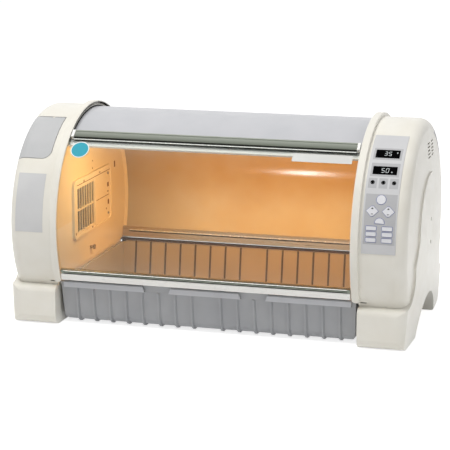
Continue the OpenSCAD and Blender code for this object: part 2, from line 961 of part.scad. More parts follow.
module heater_element() {
    color(steel)
        mirror([1, 0, 0])
            translate([rim_out_x, grille_y + fan_shroud_w / 2 + 10, heater_z - 44]) {
                cube([4, 76, 88]);
                translate([24, 0, 0])
                    cube([4, 76, 88]);
                for (i = [0:10])
                    translate([3.5, 2 + i * 7, 2])
                        cube([21, 2, 84]);
            }
}

module water_tank() {
    color([0.85, 0.9, 0.93])
        mirror([1, 0, 0])
            box3([rim_out_x, 89.5 - cover_r, tank_z], [rim_out_x + 76, 173.5 - cover_r, tank_top]);
}

module tank_cap() {
    color([0.2, 0.35, 0.6])
        mirror([1, 0, 0])
            translate([rim_out_x + 46, 119.5 - cover_r, tank_top])
                cylinder(r = 15, h = 14);
}

module filter_box() {
    color([0.8, 0.8, 0.78])
        box3([rim_out_x, cover_r - 173.5, tank_z], [rim_out_x + 76, cover_r - 89.5, tank_top]);
}

module sensor_probe() {
    color(white)
        translate([0, 40, axis_h + 46])
            rotate([0, 90, 0]) {
                translate([0, 0, wall_x - 4])
                    cylinder(r = 12, h = 4);
                translate([0, 0, wall_x - 30])
                    cylinder(r = 5, h = 27);
            }
}

// Two sockets under the roof, near its front edge.
module lamp_holders() {
    color(white)
        for (x = [lamp_left, lamp_right])
            drum_sweep(roof_front_a + 6, roof_front_a + 12)
                box2(roof_in_r - 24, x, roof_in_r, x + 14);
}

module lamp_tube() {
    color([1, 0.85, 0.6])
        on_drum(lamp_left + 14, roof_front_a + 9, roof_in_r - 12)
            rotate([0, 90, 0])
                cylinder(r = 8, h = lamp_right - lamp_left - 14);
}

module control_overlay() {
    color([0.82, 0.82, 0.82])
        difference() {
            drum_sweep(panel_low_a, panel_top_a)
                box2(cover_r, panel_x - panel_w / 2, panel_r, panel_x + panel_w / 2);
            key_cuts();
        }
}

module key_backing() {
    color(rubber)
        drum_sweep(2, 31)
            box2(key_low_r - key_room - 2, rim_out_x, key_low_r - key_room, panel_x + panel_w / 2 - 1);
}

module display_window(a0, a1) {
    drum_sweep(a0, a1)
        box2(panel_r, panel_x - window_w / 2, panel_r + window_t, panel_x + window_w / 2);
}

module upper_display() {
    color(black)
        display_window(48.8, 53.9);
}

module lower_display() {
    color(black)
        display_window(39.1, 43.6);
}

module indicator_lamps() {
    color(black)
        for (i = [-1:1])
            on_drum(panel_x + 22.3 * i, 34.7, panel_r)
                cylinder(r = 2.6, h = 0.7);
}

module control_board() {
    color([0.1, 0.35, 0.2]) {
        box3([rim_out_x + 8, -150, axis_h - 20], [rim_out_x + 9.6, 20, axis_h + 100]);
        for (y = [-140, 10], z = [axis_h - 10, axis_h + 90])
            translate([rim_out_x, y, z])
                rotate([0, 90, 0])
                    cylinder(r = 3.5, h = 8.5);
    }
}

module power_supply() {
    color(steel)
        box3([rim_out_x, -arch_r / 2, arch_h + 22], [rim_out_x + 50, arch_r / 2, arch_h + 80]);
}

module cord_gland() {
    color(rubber)
        translate([rim_out_x + 45, foot_y, foot_h / 2 + 4])
            rotate([90, 0, 0]) {
                translate([0, 0, -3])
                    cylinder(r = 10, h = 3);
                cylinder(r = 6.9, h = cover_t + 6);
            }
}

module notice_plate() {
    color([0.88, 0.89, 0.89])
        mirror([1, 0, 0])
            drum_sweep(-0.7, 29.8)
                box2(cover_r + 0.1, rim_out_x + 18.5, cover_r + 0.5, rim_out_x + 81);
}

module door_panel() {
    color([0.85, 0.9, 0.9, 0.25])
        drum_sweep(door_low_a, door_top_a)
            box2(door_in_r, -wall_x + door_end_gap, door_out_r, wall_x - door_end_gap);
}

// Ends of the door's rails and of their caps
rail_x = rim_x - cap_gap - cap_len;

module top_rail_section(grow) {
    rail_section(door_top_a)
        difference() {
            box2(door_in_r - 2.2, -top_rail_h, door_out_r + 3.5 + grow, 0);
            if (grow == 0)
                box2(door_out_r + 2.4, -top_rail_h + 3, door_out_r + 9, -4);
        }
}

module door_top_rail() {
    color(aluminium)
        along_x(-rail_x, rail_x)
            top_rail_section(0);
}

module door_top_caps() {
    color(white) {
        along_x(-rail_x - cap_len, -rail_x)
            top_rail_section(0.6);
        along_x(rail_x, rail_x + cap_len)
            top_rail_section(0.6);
    }
}

module door_low_rail() {
    color(aluminium)
        along_x(-rail_x - cap_len, rail_x + cap_len)
            rail_section(door_low_a)
                box2(door_in_r - 1.5, 0, door_out_r + 2.5, low_rail_h);
}

// Section of the handle bar, rounded on its outer side.
module handle_section() {
    thick = 10;
    translate([door_out_r - 5.5, low_rail_h]) {
        box2(0, 0, thick / 2, handle_h);
        box2(0, thick / 2, thick, handle_h - thick / 2);
        translate([thick / 2, thick / 2])
            circle(thick / 2);
        translate([thick / 2, handle_h - thick / 2])
            circle(thick / 2);
    }
}

module door_handle() {
    color(white)
        along_x(-rail_x, rail_x)
            rail_section(door_low_a)
                handle_section();
}

module door_low_caps() {
    color(white) {
        along_x(-rail_x - cap_len, -rail_x)
            rail_section(door_low_a)
                handle_section();
        along_x(rail_x, rail_x + cap_len)
            rail_section(door_low_a)
                handle_section();
    }
}

module door_plate() {
    half = plate_h / door_out_r * 90 / PI;
    color(white)
        drum_sweep(46 - half, 46 + half)
            box2(door_out_r, plate_x - plate_len / 2, door_out_r + 0.5, plate_x + plate_len / 2);
}

module door_badge() {
    color([0.2, 0.55, 0.6])
        intersection() {
            on_drum(badge_x, 44.2, door_out_r - 5)
                cylinder(d = badge_d, h = 12);
            drum_sweep(34, 54.5)
                box2(door_out_r, badge_x - badge_d, door_out_r + 0.5, badge_x + badge_d);
        }
}

// Front outline of the tray, with leaning sides and round lower corners.
module tray_outline(inset) {
    half = tray_x - inset;
    foot = half - tray_draft;
    low = tray_low + inset;
    top = tray_top + (inset > 0 ? 1 : 0);
    r = tray_r - inset;
    polygon([[-half, top], [-foot, low + r], [-foot + r, low], [foot - r, low], [foot, low + r], [half, top]]);
    for (s = [-1, 1])
        translate([s * (foot - r), low + r])
            circle(r);
}

// Draws a child at the front of the tray and mirrored at its back.
module front_and_back() {
    for (s = [0, 1])
        translate([0, tray_mid, 0])
            mirror([0, s, 0])
                translate([0, -tray_mid, 0])
                    children();
}

// Point where the leaning front wall meets the round at its foot, moved inwards from its outer face.
function wall_foot(inset) = [sole_y - (sole_r - inset) * cos(lean_a), sole_z - (sole_r - inset) * sin(lean_a)];

// Y place of the leaning front wall at a height.
function wall_y(z, inset) = wall_foot(inset)[0] - (z - wall_foot(inset)[1]) * tan(lean_a);

// Front half of the tray's side outline: the leaning wall runs into the floor in a round.
module tray_half(inset, top) {
    low = tray_low + inset;
    polygon([[wall_y(top, inset), top], wall_foot(inset), [sole_y, low], [tray_mid + 1, low], [tray_mid + 1, top]]);
    translate([sole_y, sole_z])
        circle(sole_r - inset + sole_swell);
}

// Both halves of the tray's side outline, extruded along the tray.
module tray_side(inset, top, half) {
    front_and_back()
        along_x(-half, half)
            tray_half(inset, top);
}

// Rib down a wall, around the lower edge and along the floor, in two layers.
module rib() {
    tray_side(-rib_d / 2, tray_top - lip_h - 1, rib_w / 2);
    tray_side(-rib_d, tray_top - lip_h - 1, rib_w / 4);
}

// Groove in the inner side of a wall behind a rib.
module groove() {
    top = tray_top - lip_h - 2;
    front_and_back()
        along_x(-groove_w / 2, groove_w / 2)
            polygon([[wall_y(top, -rib_d / 4), top], [wall_y(sole_z, -rib_d / 4), sole_z],
                [wall_y(sole_z, tray_t + 1), sole_z], [wall_y(top, tray_t + 1), top]]);
}

// Places a child at each of the ribs.
module at_ribs() {
    for (s = [-1, 1], i = [0:rib_last])
        translate([s * (rib_mid / 2 + i * rib_pitch), 0, 0])
            children();
}

// Section of the front lip with its rounded upper edge.
module lip_section() {
    r = lip_d / 2;
    box2(tray_front - lip_d, tray_top - lip_h, tray_front + 1, tray_top - r);
    box2(tray_front - lip_d + r, tray_top - lip_h, tray_front + 1, tray_top);
    translate([tray_front - lip_d + r, tray_top - r])
        circle(r);
}

module tray() {
    lip_x = rim_x - 2;
    color(tray_grey)
        difference() {
            union() {
                intersection() {
                    tray_side(0, tray_top, tray_x);
                    along_y(tray_front - 1, tray_back + 1)
                        tray_outline(0);
                }
                at_ribs()
                    rib();
                along_x(-lip_x, lip_x)
                    lip_section();
                for (s = [0, 1])
                    mirror([s, 0, 0])
                        box3([tray_x - 2, tray_front + 8, flange_z + slide_gap],
                            [skirt_x - tray_gap, tray_back - 4, flange_z + slide_gap + 3.5]);
            }
            intersection() {
                tray_side(tray_t, tray_top + 1, tray_x);
                along_y(tray_front, tray_back)
                    tray_outline(tray_t);
            }
            at_ribs()
                groove();
            // the corners stay below the ends of the rims
            for (s = [0, 1])
                mirror([s, 0, 0])
                    box3([lip_x, tray_front - lip_d - 1, flange_z + slide_gap + 3.5],
                        [skirt_x, tray_back + rib_d + 1, tray_top + 5]);
            // finger recesses with slanted ends
            for (s = [-1, 1])
                along_y(tray_front - lip_d - 1, tray_front - 2)
                    translate([s * finger_x, tray_top])
                        polygon([[-finger_w / 2, 1], [-finger_w / 2 + 6, -lip_h - 1],
                            [finger_w / 2 - 6, -lip_h - 1], [finger_w / 2, 1]]);
        }
}

module left_lid() {
    color(roof_grey)
        mirror([1, 0, 0])
            lid_form();
}

module right_lid() {
    color(roof_grey)
        mirror([0, 1, 0])
            lid_form();
}

left_end_frame();
right_end_frame();
left_end_cover();
right_end_cover();
rubber_pads();
cover_screws();
roof_shell();
roof_front_rail();
roof_seal_strip();
rear_rail();
rear_rail_ends();
heater_panel();
grille();
panel_screws();
wall_peg();
fan_shroud();
fan_motor();
fan_impeller();
heater_element();
water_tank();
tank_cap();
filter_box();
sensor_probe();
lamp_holders();
lamp_tube();
control_overlay();
key_backing();
upper_display();
lower_display();
indicator_lamps();
control_board();
power_supply();
cord_gland();
notice_plate();
door_panel();
door_top_rail();
door_low_rail();
door_handle();
door_top_caps();
door_low_caps();
door_plate();
door_badge();
tray();
left_lid();
right_lid();
power_key();
rocker_key(-1);  // left_rocker
rocker_key(1);  // right_rocker
select_key();
small_key(-1, small_key_a[0]);  // small_key_1
small_key(1, small_key_a[0]);  // small_key_2
small_key(-1, small_key_a[1]);  // small_key_3
small_key(1, small_key_a[1]);  // small_key_4
small_key(-1, small_key_a[2]);  // small_key_5
small_key(1, small_key_a[2]);  // small_key_6
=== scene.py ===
"""Looks of a drum-shaped brooder box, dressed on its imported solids.

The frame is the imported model's: metres, +X along the drum to the control end, +Y to the back, +Z up.
Places on the drum are given by X and by an angle, which starts at the front, level with the drum axis,
and grows upwards over the top.
"""

from __future__ import annotations

import logging
import math
from collections.abc import Callable
from dataclasses import dataclass
from enum import Enum

import bpy
import numpy as np
from bpy.types import ID, Material, Node, NodeSocket, NodeTree, Object, World
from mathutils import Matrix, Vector


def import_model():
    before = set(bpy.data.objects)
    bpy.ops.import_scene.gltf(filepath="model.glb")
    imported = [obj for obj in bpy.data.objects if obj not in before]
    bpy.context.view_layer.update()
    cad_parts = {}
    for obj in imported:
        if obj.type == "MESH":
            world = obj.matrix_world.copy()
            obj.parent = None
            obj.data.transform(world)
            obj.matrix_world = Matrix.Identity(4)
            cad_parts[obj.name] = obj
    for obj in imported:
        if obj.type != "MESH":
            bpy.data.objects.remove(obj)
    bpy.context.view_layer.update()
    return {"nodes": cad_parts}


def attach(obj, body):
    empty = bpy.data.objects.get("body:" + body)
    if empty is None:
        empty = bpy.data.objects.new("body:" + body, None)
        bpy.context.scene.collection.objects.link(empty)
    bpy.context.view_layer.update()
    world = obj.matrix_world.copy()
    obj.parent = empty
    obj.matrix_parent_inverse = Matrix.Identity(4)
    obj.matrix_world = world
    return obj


LOG = logging.getLogger("brooder")
MM = 0.001

# Height of the drum axis and outer radius of the door sheet, in metres
AXIS_Z = 214 * MM
DOOR_R = 245 * MM
# Overlay: its face, its middle along X, the displays' face and the keys' face, in metres
PANEL_R = 242.5 * MM
PANEL_X = 379.25 * MM
WINDOW_R = PANEL_R + 0.6 * MM
KEY_R = 243.4 * MM
# Height of printed lines and lit figures, in metres
INK = 0.12 * MM
# Lower edge of the door's top rail and upper edge of its lower rail, in degrees
TOP_RAIL_A = 51.8
LOW_RAIL_A = -20.3
# Inner faces of the left wall and of the heater panel along X, in millimetres
WALL_FACE = -331.0
HEATER_FACE = -327.0
# Part of a noise value's range that is spread out
NOISE_RANGE = (0.3, 0.7)
PURE_WHITE = (1.0, 1.0, 1.0, 1.0)

Span = tuple[float, float]
Point = tuple[float, float, float]


class Body(str, Enum):
    """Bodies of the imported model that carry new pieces."""

    HOUSING = "housing"
    DOOR = "door"
    TRAY = "tray"
    LEFT_ROCKER = "left_rocker"
    RIGHT_ROCKER = "right_rocker"


# Colours and node trees


def linear(hex_colour: str) -> tuple[float, float, float, float]:
    """Turns an sRGB hex colour into linear light.

    Args:
        hex_colour: Six hex digits with a leading hash sign.

    Returns:
        Red, green, blue and an alpha of 1.
    """
    parts = np.array([int(hex_colour[i : i + 2], 16) for i in (1, 3, 5)]) / 255
    lit = np.where(parts <= 0.04045, parts / 12.92, ((parts + 0.055) / 1.055) ** 2.4)
    return float(lit[0]), float(lit[1]), float(lit[2]), 1.0


def add_node(tree: NodeTree, kind: str, settings: dict | None = None, inputs: dict | None = None) -> Node:
    """Adds one node with its settings and its values or links.

    Args:
        tree: Tree that gets the node.
        kind: Blender's name of the node type.
        settings: Attributes of the node.
        inputs: Input name or number, with a value or with the socket that feeds it.

    Returns:
        The new node.
    """
    node = tree.nodes.new(kind)
    for name, value in (settings or {}).items():
        setattr(node, name, value)
    for key, value in (inputs or {}).items():
        if isinstance(value, NodeSocket):
            tree.links.new(value, node.inputs[key])
        else:
            node.inputs[key].default_value = value
    return node


def calculate(tree: NodeTree, operation: str, *values, clamp: bool = False) -> NodeSocket:
    """Adds a calculation with numbers or sockets and gives its result."""
    settings = {"operation": operation, "use_clamp": clamp}
    return add_node(tree, "ShaderNodeMath", settings, dict(enumerate(values))).outputs[0]


def ramp(tree: NodeTree, value: NodeSocket, start: Span, end: Span, kind: str = "LINEAR") -> NodeSocket:
    """Carries a value from one range over to another and holds it at the ends.

    Args:
        tree: Tree that gets the node.
        value: Socket with the value.
        start: First range.
        end: Second range.
        kind: Blender's name of the way between the ends.

    Returns:
        The socket with the result.
    """
    spans = {"Value": value, "From Min": start[0], "From Max": start[1], "To Min": end[0], "To Max": end[1]}
    return add_node(tree, "ShaderNodeMapRange", {"interpolation_type": kind}, spans).outputs["Result"]


def empty_tree(owner: Material | World) -> NodeTree:
    """Switches the nodes of a material or world on and gives their tree, emptied."""
    owner.use_nodes = True
    owner.node_tree.nodes.clear()
    return owner.node_tree


def add_object(name: str, data: ID) -> Object:
    """Makes an object of its data and links it to the scene."""
    made = bpy.data.objects.new(name, data)
    bpy.context.scene.collection.objects.link(made)
    return made


# Finishes


@dataclass(frozen=True)
class Finish:
    """A surface with clouded colour, uneven gloss and a fine grain.

    Sizes are in millimetres on the real surface. A grain finer than about 1.5 mm would vanish at the
    photograph's distance, so grains are drawn at that size or coarser.
    """

    name: str
    colour: str
    shade: str
    roughness: float = 0.4
    gloss_spread: float = 0.06
    cloud_mm: float = 70.0
    grain_mm: float = 1.6
    grain_depth_mm: float = 0.03
    grain_strength: float = 0.35
    metallic: float = 0.0
    coat: float = 0.0
    specular: float = 0.5
    stretch: Point = (1.0, 1.0, 1.0)

    def material(self) -> Material:
        """Gives the material of this finish, made once."""
        made = bpy.data.materials.get(self.name)
        if made is None:
            made = bpy.data.materials.new(self.name)
            self.build(empty_tree(made))
        return made

    def place(self, tree: NodeTree) -> NodeSocket:
        """Gives object coordinates in metres, drawn out along the finish's lay."""
        where = add_node(tree, "ShaderNodeTexCoord")
        inputs = {"Vector": where.outputs["Object"], "Scale": self.stretch}
        return add_node(tree, "ShaderNodeMapping", inputs=inputs).outputs["Vector"]

    def noise(self, tree: NodeTree, at: NodeSocket, size_mm: float, detail: float = 3.0) -> NodeSocket:
        """Adds a noise whose patches have a real size and gives its value."""
        inputs = {"Vector": at, "Scale": 1 / (size_mm * MM), "Detail": detail}
        return add_node(tree, "ShaderNodeTexNoise", inputs=inputs).outputs["Fac"]

    def span(self, tree: NodeTree, value: NodeSocket, low: float, high: float) -> NodeSocket:
        """Spreads the middle of a noise value over a range."""
        return ramp(tree, value, NOISE_RANGE, (low, high))

    def blend(self, tree: NodeTree, share, first, second) -> NodeSocket:
        """Mixes two colours, each a hex colour or a socket, by a share."""
        sides = [linear(c) if isinstance(c, str) else c for c in (first, second)]
        inputs = {"Factor": share, 6: sides[0], 7: sides[1]}
        return add_node(tree, "ShaderNodeMix", {"data_type": "RGBA"}, inputs).outputs[2]

    def drum(self, tree: NodeTree, at: NodeSocket) -> tuple[NodeSocket, NodeSocket, NodeSocket]:
        """Gives X, the angle and the radius on the drum as sockets.

        The angle is atan2(z - axis, -y) and the radius is hypot(y, z - axis).
        """
        parts = add_node(tree, "ShaderNodeSeparateXYZ", inputs={0: at}).outputs
        rise = calculate(tree, "SUBTRACT", parts[2], AXIS_Z)
        front = calculate(tree, "MULTIPLY", parts[1], -1.0)
        flat = add_node(tree, "ShaderNodeCombineXYZ", inputs={0: rise, 1: front})
        radius = add_node(tree, "ShaderNodeVectorMath", {"operation": "LENGTH"}, {0: flat.outputs[0]})
        return parts[0], calculate(tree, "ARCTAN2", rise, front), radius.outputs["Value"]

    def ground(self, tree: NodeTree, at: NodeSocket) -> NodeSocket:
        """Gives the clouded base colour."""
        cloud = self.noise(tree, at, self.cloud_mm)
        return self.blend(tree, self.span(tree, cloud, 0, 1), self.colour, self.shade)

    def build(self, tree: NodeTree) -> Node:
        """Builds the node tree. Patches of gloss are a third as large as the clouds.

        Args:
            tree: Empty tree of the material.

        Returns:
            The shader node.
        """
        at = self.place(tree)
        grain = self.noise(tree, at, self.grain_mm, detail=2.0)
        patches = self.noise(tree, at, self.cloud_mm / 3)
        spread = self.gloss_spread
        gloss = self.span(tree, patches, self.roughness - spread, self.roughness + spread)
        depth = {"Strength": self.grain_strength, "Distance": self.grain_depth_mm * MM}
        bump = add_node(tree, "ShaderNodeBump", inputs={"Height": grain, **depth})
        inputs = {
            "Base Color": self.ground(tree, at),
            "Roughness": gloss,
            "Metallic": self.metallic,
            "Coat Weight": self.coat,
            "Specular IOR Level": self.specular,
            "Normal": bump.outputs["Normal"],
        }
        shader = add_node(tree, "ShaderNodeBsdfPrincipled", inputs=inputs)
        add_node(tree, "ShaderNodeOutputMaterial", inputs={"Surface": shader.outputs[0]})
        return shader


@dataclass(frozen=True)
class ClearSheet(Finish):
    """Clear polished sheet: it lets the inside show and mirrors lamps at a slant."""

    mirror: float = 0.5
    index: float = 1.49
    gloss: Span = (0.1, 0.14)

    def build(self, tree: NodeTree) -> Node:
        """Builds a see-through film with a glossy face whose share grows at a slant."""
        at = self.place(tree)
        gloss = self.span(tree, self.noise(tree, at, self.cloud_mm), *self.gloss)
        facing = add_node(tree, "ShaderNodeFresnel", inputs={"IOR": self.index})
        share = calculate(tree, "MULTIPLY", facing.outputs[0], self.mirror)
        through = add_node(tree, "ShaderNodeBsdfTransparent", inputs={"Color": linear(self.colour)})
        polish = {"Base Color": self.ground(tree, at), "Roughness": gloss, "Metallic": 1.0}
        mirror = add_node(tree, "ShaderNodeBsdfPrincipled", inputs=polish)
        layers = {0: share, 1: through.outputs[0], 2: mirror.outputs[0]}
        both = add_node(tree, "ShaderNodeMixShader", inputs=layers)
        add_node(tree, "ShaderNodeOutputMaterial", inputs={"Surface": both.outputs[0]})
        return mirror


@dataclass(frozen=True)
class Glowing(Finish):
    """A lit surface, such as display figures or the heat lamp's tube."""

    glow: float = 1.0

    def build(self, tree: NodeTree) -> Node:
        """Builds the plain surface and lets it give light."""
        shader = super().build(tree)
        shader.inputs["Emission Color"].default_value = linear(self.colour)
        shader.inputs["Emission Strength"].default_value = self.glow
        return shader


@dataclass(frozen=True)
class WarmLitSheet(Finish):
    """A part of the drum whose inside carries painted warm lamp light, and can darken to a painted shadow
    towards the left end.
    """

    # Painted warm lamp light inside: paler low down, warmer higher up nearer the lamp
    warm_lit_colour: str = "#DADDDB"
    warm_lit_shade: str = "#C6AE78"
    inner_r_mm: float = 235.8
    inner_x_mm: float = 400.0
    low_a: float = 196.0
    high_a: float = 158.0
    drift: float = 0.15
    # Painted shadow towards the left end, over a share of the inside
    shadow_colour: str = "#8F8470"
    shadow_share: float = 0.0
    shadow_x_mm: Span = (-120.0, -330.0)

    def ground(self, tree: NodeTree, at: NodeSocket) -> NodeSocket:
        """Gives the outer colour, and inside a radius and between two ends painted warm lamp light.

        The painted light goes from its paler colour at the low angle to its warmer colour at the high one,
        nearer the lamp, counted over the back, and clouds move the change up and down. Towards the left end
        it goes to a painted shadow colour.
        """
        along, angle, radius = self.drum(tree, at)
        outer = super().ground(tree, at)
        cloud = self.span(tree, self.noise(tree, at, self.cloud_mm), -self.drift, self.drift)
        turn = calculate(tree, "FLOORED_MODULO", angle, 2 * math.pi)
        back = (math.radians(self.high_a), math.radians(self.low_a))
        height = ramp(tree, turn, back, (1.0, 0.0), "SMOOTHSTEP")
        share = calculate(tree, "ADD", height, cloud, clamp=True)
        lit_inside = self.blend(tree, share, self.warm_lit_colour, self.warm_lit_shade)
        left = tuple(x * MM for x in self.shadow_x_mm)
        # Painted shadow, growing towards the left end
        corner = ramp(tree, along, left, (0.0, self.shadow_share))
        lit_inside = self.blend(tree, corner, lit_inside, self.shadow_colour)
        near = calculate(tree, "LESS_THAN", radius, self.inner_r_mm * MM)
        between = calculate(tree, "COMPARE", along, 0.0, self.inner_x_mm * MM)
        return self.blend(tree, calculate(tree, "MULTIPLY", near, between), outer, lit_inside)


@dataclass(frozen=True)
class WarmLitTray(Finish):
    """A tray whose inner faces are warmer than its outer faces, by painted warm lamp light."""

    warm_lit_colour: str = "#AFA99B"
    warm_lit_shade: str = "#A59F91"
    middle_mm: Point = (0.0, -2.5, 101.3)
    steepness: float = 40.0

    def ground(self, tree: NodeTree, at: NodeSocket) -> NodeSocket:
        """Gives painted warm lamp light where a face looks to the middle of the tray's mouth, else the
        outer colour.

        The share is steepness * n . (middle - p) without the part along X, kept between 0 and 1, for the
        face's normal n at the point p in metres.
        """
        middle = tuple(v * MM for v in self.middle_mm)
        outer = super().ground(tree, at)
        cloud = self.span(tree, self.noise(tree, at, self.cloud_mm), 0, 1)
        inner = self.blend(tree, cloud, self.warm_lit_colour, self.warm_lit_shade)
        normal = add_node(tree, "ShaderNodeTexCoord").outputs["Normal"]
        kind = "ShaderNodeVectorMath"
        way = add_node(tree, kind, {"operation": "SUBTRACT"}, {0: middle, 1: at}).outputs[0]
        level = add_node(tree, kind, {"operation": "MULTIPLY"}, {0: way, 1: (0.0, 1.0, 1.0)}).outputs[0]
        facing = add_node(tree, kind, {"operation": "DOT_PRODUCT"}, {0: normal, 1: level})
        share = calculate(tree, "MULTIPLY", facing.outputs["Value"], self.steepness, clamp=True)
        return self.blend(tree, share, outer, inner)


@dataclass(frozen=True)
class DrawnMetal(Finish):
    """A metal rail with fine streaks along X."""

    roughness: float = 0.34
    cloud_mm: float = 9.0
    grain_mm: float = 3.0
    metallic: float = 0.7
    stretch: Point = (0.02, 1.0, 1.0)


@dataclass(frozen=True)
class ShadedRail(DrawnMetal):
    """A rail on the drum without streaks, with painted shade that darkens it from its upper to its lower
    edge.
    """

    stretch: Point = (1.0, 1.0, 1.0)
    low_a: float = 0.0
    high_a: float = 90.0

    def ground(self, tree: NodeTree, at: NodeSocket) -> NodeSocket:
        """Gives the painted shade at the lower angle and the colour at the upper angle."""
        _, angle, _ = self.drum(tree, at)
        share = ramp(tree, angle, (math.radians(self.low_a), math.radians(self.high_a)), (0.0, 1.0))
        return self.blend(tree, share, self.shade, self.colour)


@dataclass(frozen=True)
class DrumWindow:
    """A printed rectangle on the drum, in millimetres along X and degrees around it."""

    x0: float
    x1: float
    a0: float
    a1: float


@dataclass(frozen=True)
class PrintedFilm(Finish):
    """Matte printed film whose fields have a second colour."""

    field_colour: str = "#B6B7BB"
    fields: tuple[DrumWindow, ...] = ()

    def inside(self, tree: NodeTree, value: NodeSocket, low: float, high: float) -> NodeSocket:
        """Gives 1 where a value lies between two bounds, else 0."""
        return calculate(tree, "COMPARE", value, (low + high) / 2, (high - low) / 2)

    def ground(self, tree: NodeTree, at: NodeSocket) -> NodeSocket:
        """Gives the film's colour with its printed fields."""
        along, angle, _ = self.drum(tree, at)
        colour = super().ground(tree, at)
        for window in self.fields:
            across = self.inside(tree, along, window.x0 * MM, window.x1 * MM)
            around = self.inside(tree, angle, math.radians(window.a0), math.radians(window.a1))
            both = calculate(tree, "MULTIPLY", across, around)
            colour = self.blend(tree, both, colour, self.field_colour)
        return colour


IVORY = Finish("ivory_abs_moulded", "#EDEBE4", "#E7E4DB", roughness=0.36, coat=0.15)
# End frames: ivory outside; inside the rims, painted warm lamp light
FRAME_IVORY = WarmLitSheet(
    "ivory_abs_end_frame",
    "#EDEBE4",
    "#E7E4DB",
    roughness=0.38,
    coat=0.1,
    warm_lit_colour="#EDE4D0",
    warm_lit_shade="#EADCBC",
    inner_r_mm=239.0,
    inner_x_mm=331.2,
)
# Ivory with a warm tint of painted lamp light, for the heater panel and grille inside
WARM_LIT_IVORY = Finish("ivory_abs_warm_lit", "#EFE5CE", "#E8DCC2", roughness=0.5)
# Roof: grey outside; inside, painted warm lamp light and a painted shadow towards the left end
ROOF = WarmLitSheet("grey_rolled_sheet", "#C5C6CC", "#BEC0C6", roughness=0.34, shadow_share=0.6)
# Tray: grey outside; inner faces carry painted warm lamp light
TRAY = WarmLitTray("grey_polypropylene", "#AEB0B4", "#A5A7AC", roughness=0.46, grain_depth_mm=0.05)
# Paler plates of painted light on the tray's upward-slanted front lip
LIP_LIGHT = Finish("painted_lip_light", "#C9CBD1", "#C1C3C9")
LID = Finish("grey_abs_lid", "#C3C4C7", "#BBBDC0", roughness=0.42)
RAIL = DrawnMetal("anodised_aluminium_rail", "#8D938A", "#7B8278", roughness=0.3, metallic=1.0)
# Top rail: painted shade, darker towards its lower edge
TOP_RAIL = ShadedRail("anodised_top_rail", "#A9AEA4", "#6C7167", low_a=52.0, high_a=56.4)
# Near-white lines of painted highlight along rail edges
PAINTED_HIGHLIGHT = Finish("painted_highlight_edge", "#E9ECE8", "#DDE0DC", roughness=0.25, metallic=0.5, cloud_mm=9.0)
# Black strips of painted shade in gaps, door tracks and vents
SHADE_STRIP = Finish("painted_shade_strip", "#1C1C1B", "#242423", roughness=0.7, specular=0.2)
# Dark strips of painted shade in the tray's grooves
GROOVE_SHADE = Finish("painted_groove_shade", "#524E4A", "#494541", roughness=0.7, specular=0.1)
LOW_RAIL = DrawnMetal("anodised_low_rail", "#787F75", "#697066")
# Holes drawn as plates of painted shade; seams drawn in the same dark colour
HOLE = Finish("shaded_wall_hole", "#7A5A30", "#6C4E28", roughness=0.8, specular=0.1)
# Dark brown bar of painted shadow over the gap behind the tray
GAP_SHADOW = Finish("painted_gap_shadow", "#4A4035", "#40372D", roughness=0.9, specular=0.1)
# Brushed metal with a tan tint of painted warm lamp light, for the rear rail, its ends and the wall peg
REAR_METAL = DrawnMetal("brushed_rear_rail", "#B5A78F", "#A79A83", roughness=0.3)
# Dark plate of painted shade behind the grille's slots
MESH = Finish("painted_grille_shade", "#2E2924", "#241F1B", roughness=0.8, cloud_mm=4.0, specular=0.1)
SEAL = Finish("white_silicone_seal", "#FBFBF9", "#F4F4F1")
WHITE = Finish("white_pvc_bar", "#FCFCFA", "#F5F5F3", roughness=0.3, coat=0.2)
RUBBER = Finish("black_rubber_pad", "#2A2A2B", "#222223", roughness=0.8, grain_depth_mm=0.1)
SCREW = Finish("zinc_plated_steel", "#A6A7AA", "#8E9094", roughness=0.32, metallic=1.0, cloud_mm=6.0)
FINS = Finish("bare_aluminium_fins", "#A9ABAE", "#97999D", roughness=0.38, metallic=1.0, cloud_mm=12.0)
FAN = Finish("black_nylon_fan", "#1E1E20", "#161617", roughness=0.5)
BOARD = Finish("green_circuit_board", "#1F5A38", "#174A2D", roughness=0.45, cloud_mm=8.0)
SUPPLY = Finish("coated_supply_case", "#5C5F63", "#505357", roughness=0.5)
TANK = Finish("milky_polyethylene_tank", "#D9E3E8", "#CCD8DF", roughness=0.45)
CAP = Finish("blue_screw_cap", "#3A62A0", "#30558E", roughness=0.45)
FELT = Finish("filter_felt", "#CFCFC9", "#BDBDB6", roughness=0.9, cloud_mm=5.0, grain_depth_mm=0.4)
TEAL = Finish("teal_printed_disc", "#38A9BE", "#319DB3")
RING = Finish("white_printed_ring", "#F4F7F8", "#EBF0F2")
BLUE = Finish("blue_printed_line", "#6F7CB8", "#6874B0", roughness=0.45)
KEY = Finish("pale_key_film", "#E6E7EC", "#DEDFE6", roughness=0.45)
DARK_PRINT = Finish("dark_printed_sign", "#2B2E36", "#24262D", roughness=0.6, specular=0.2)
WINDOW = Finish("black_display_window", "#030304", "#060607", specular=0.01)
LENS = Finish("dark_lamp_lens", "#060607", "#0A0A0B", roughness=0.3, specular=0.03)
PLATE = Finish("pale_grey_plate", "#DCDDDC", "#D5D6D5", roughness=0.45)
NOTICE = Finish("blank_notice_film", "#D3D4D6", "#CBCCCF", roughness=0.5)
DOOR_SHEET = ClearSheet("clear_acrylic_sheet", "#FCFDFC", "#F3F5F4", cloud_mm=120.0)
FIGURES = Glowing("lit_display_figures", "#C9CFD1", "#BFC6C9", glow=0.5)
TUBE = Glowing("warm_lamp_glass", "#FFB45E", "#FFA850", glow=2.0)
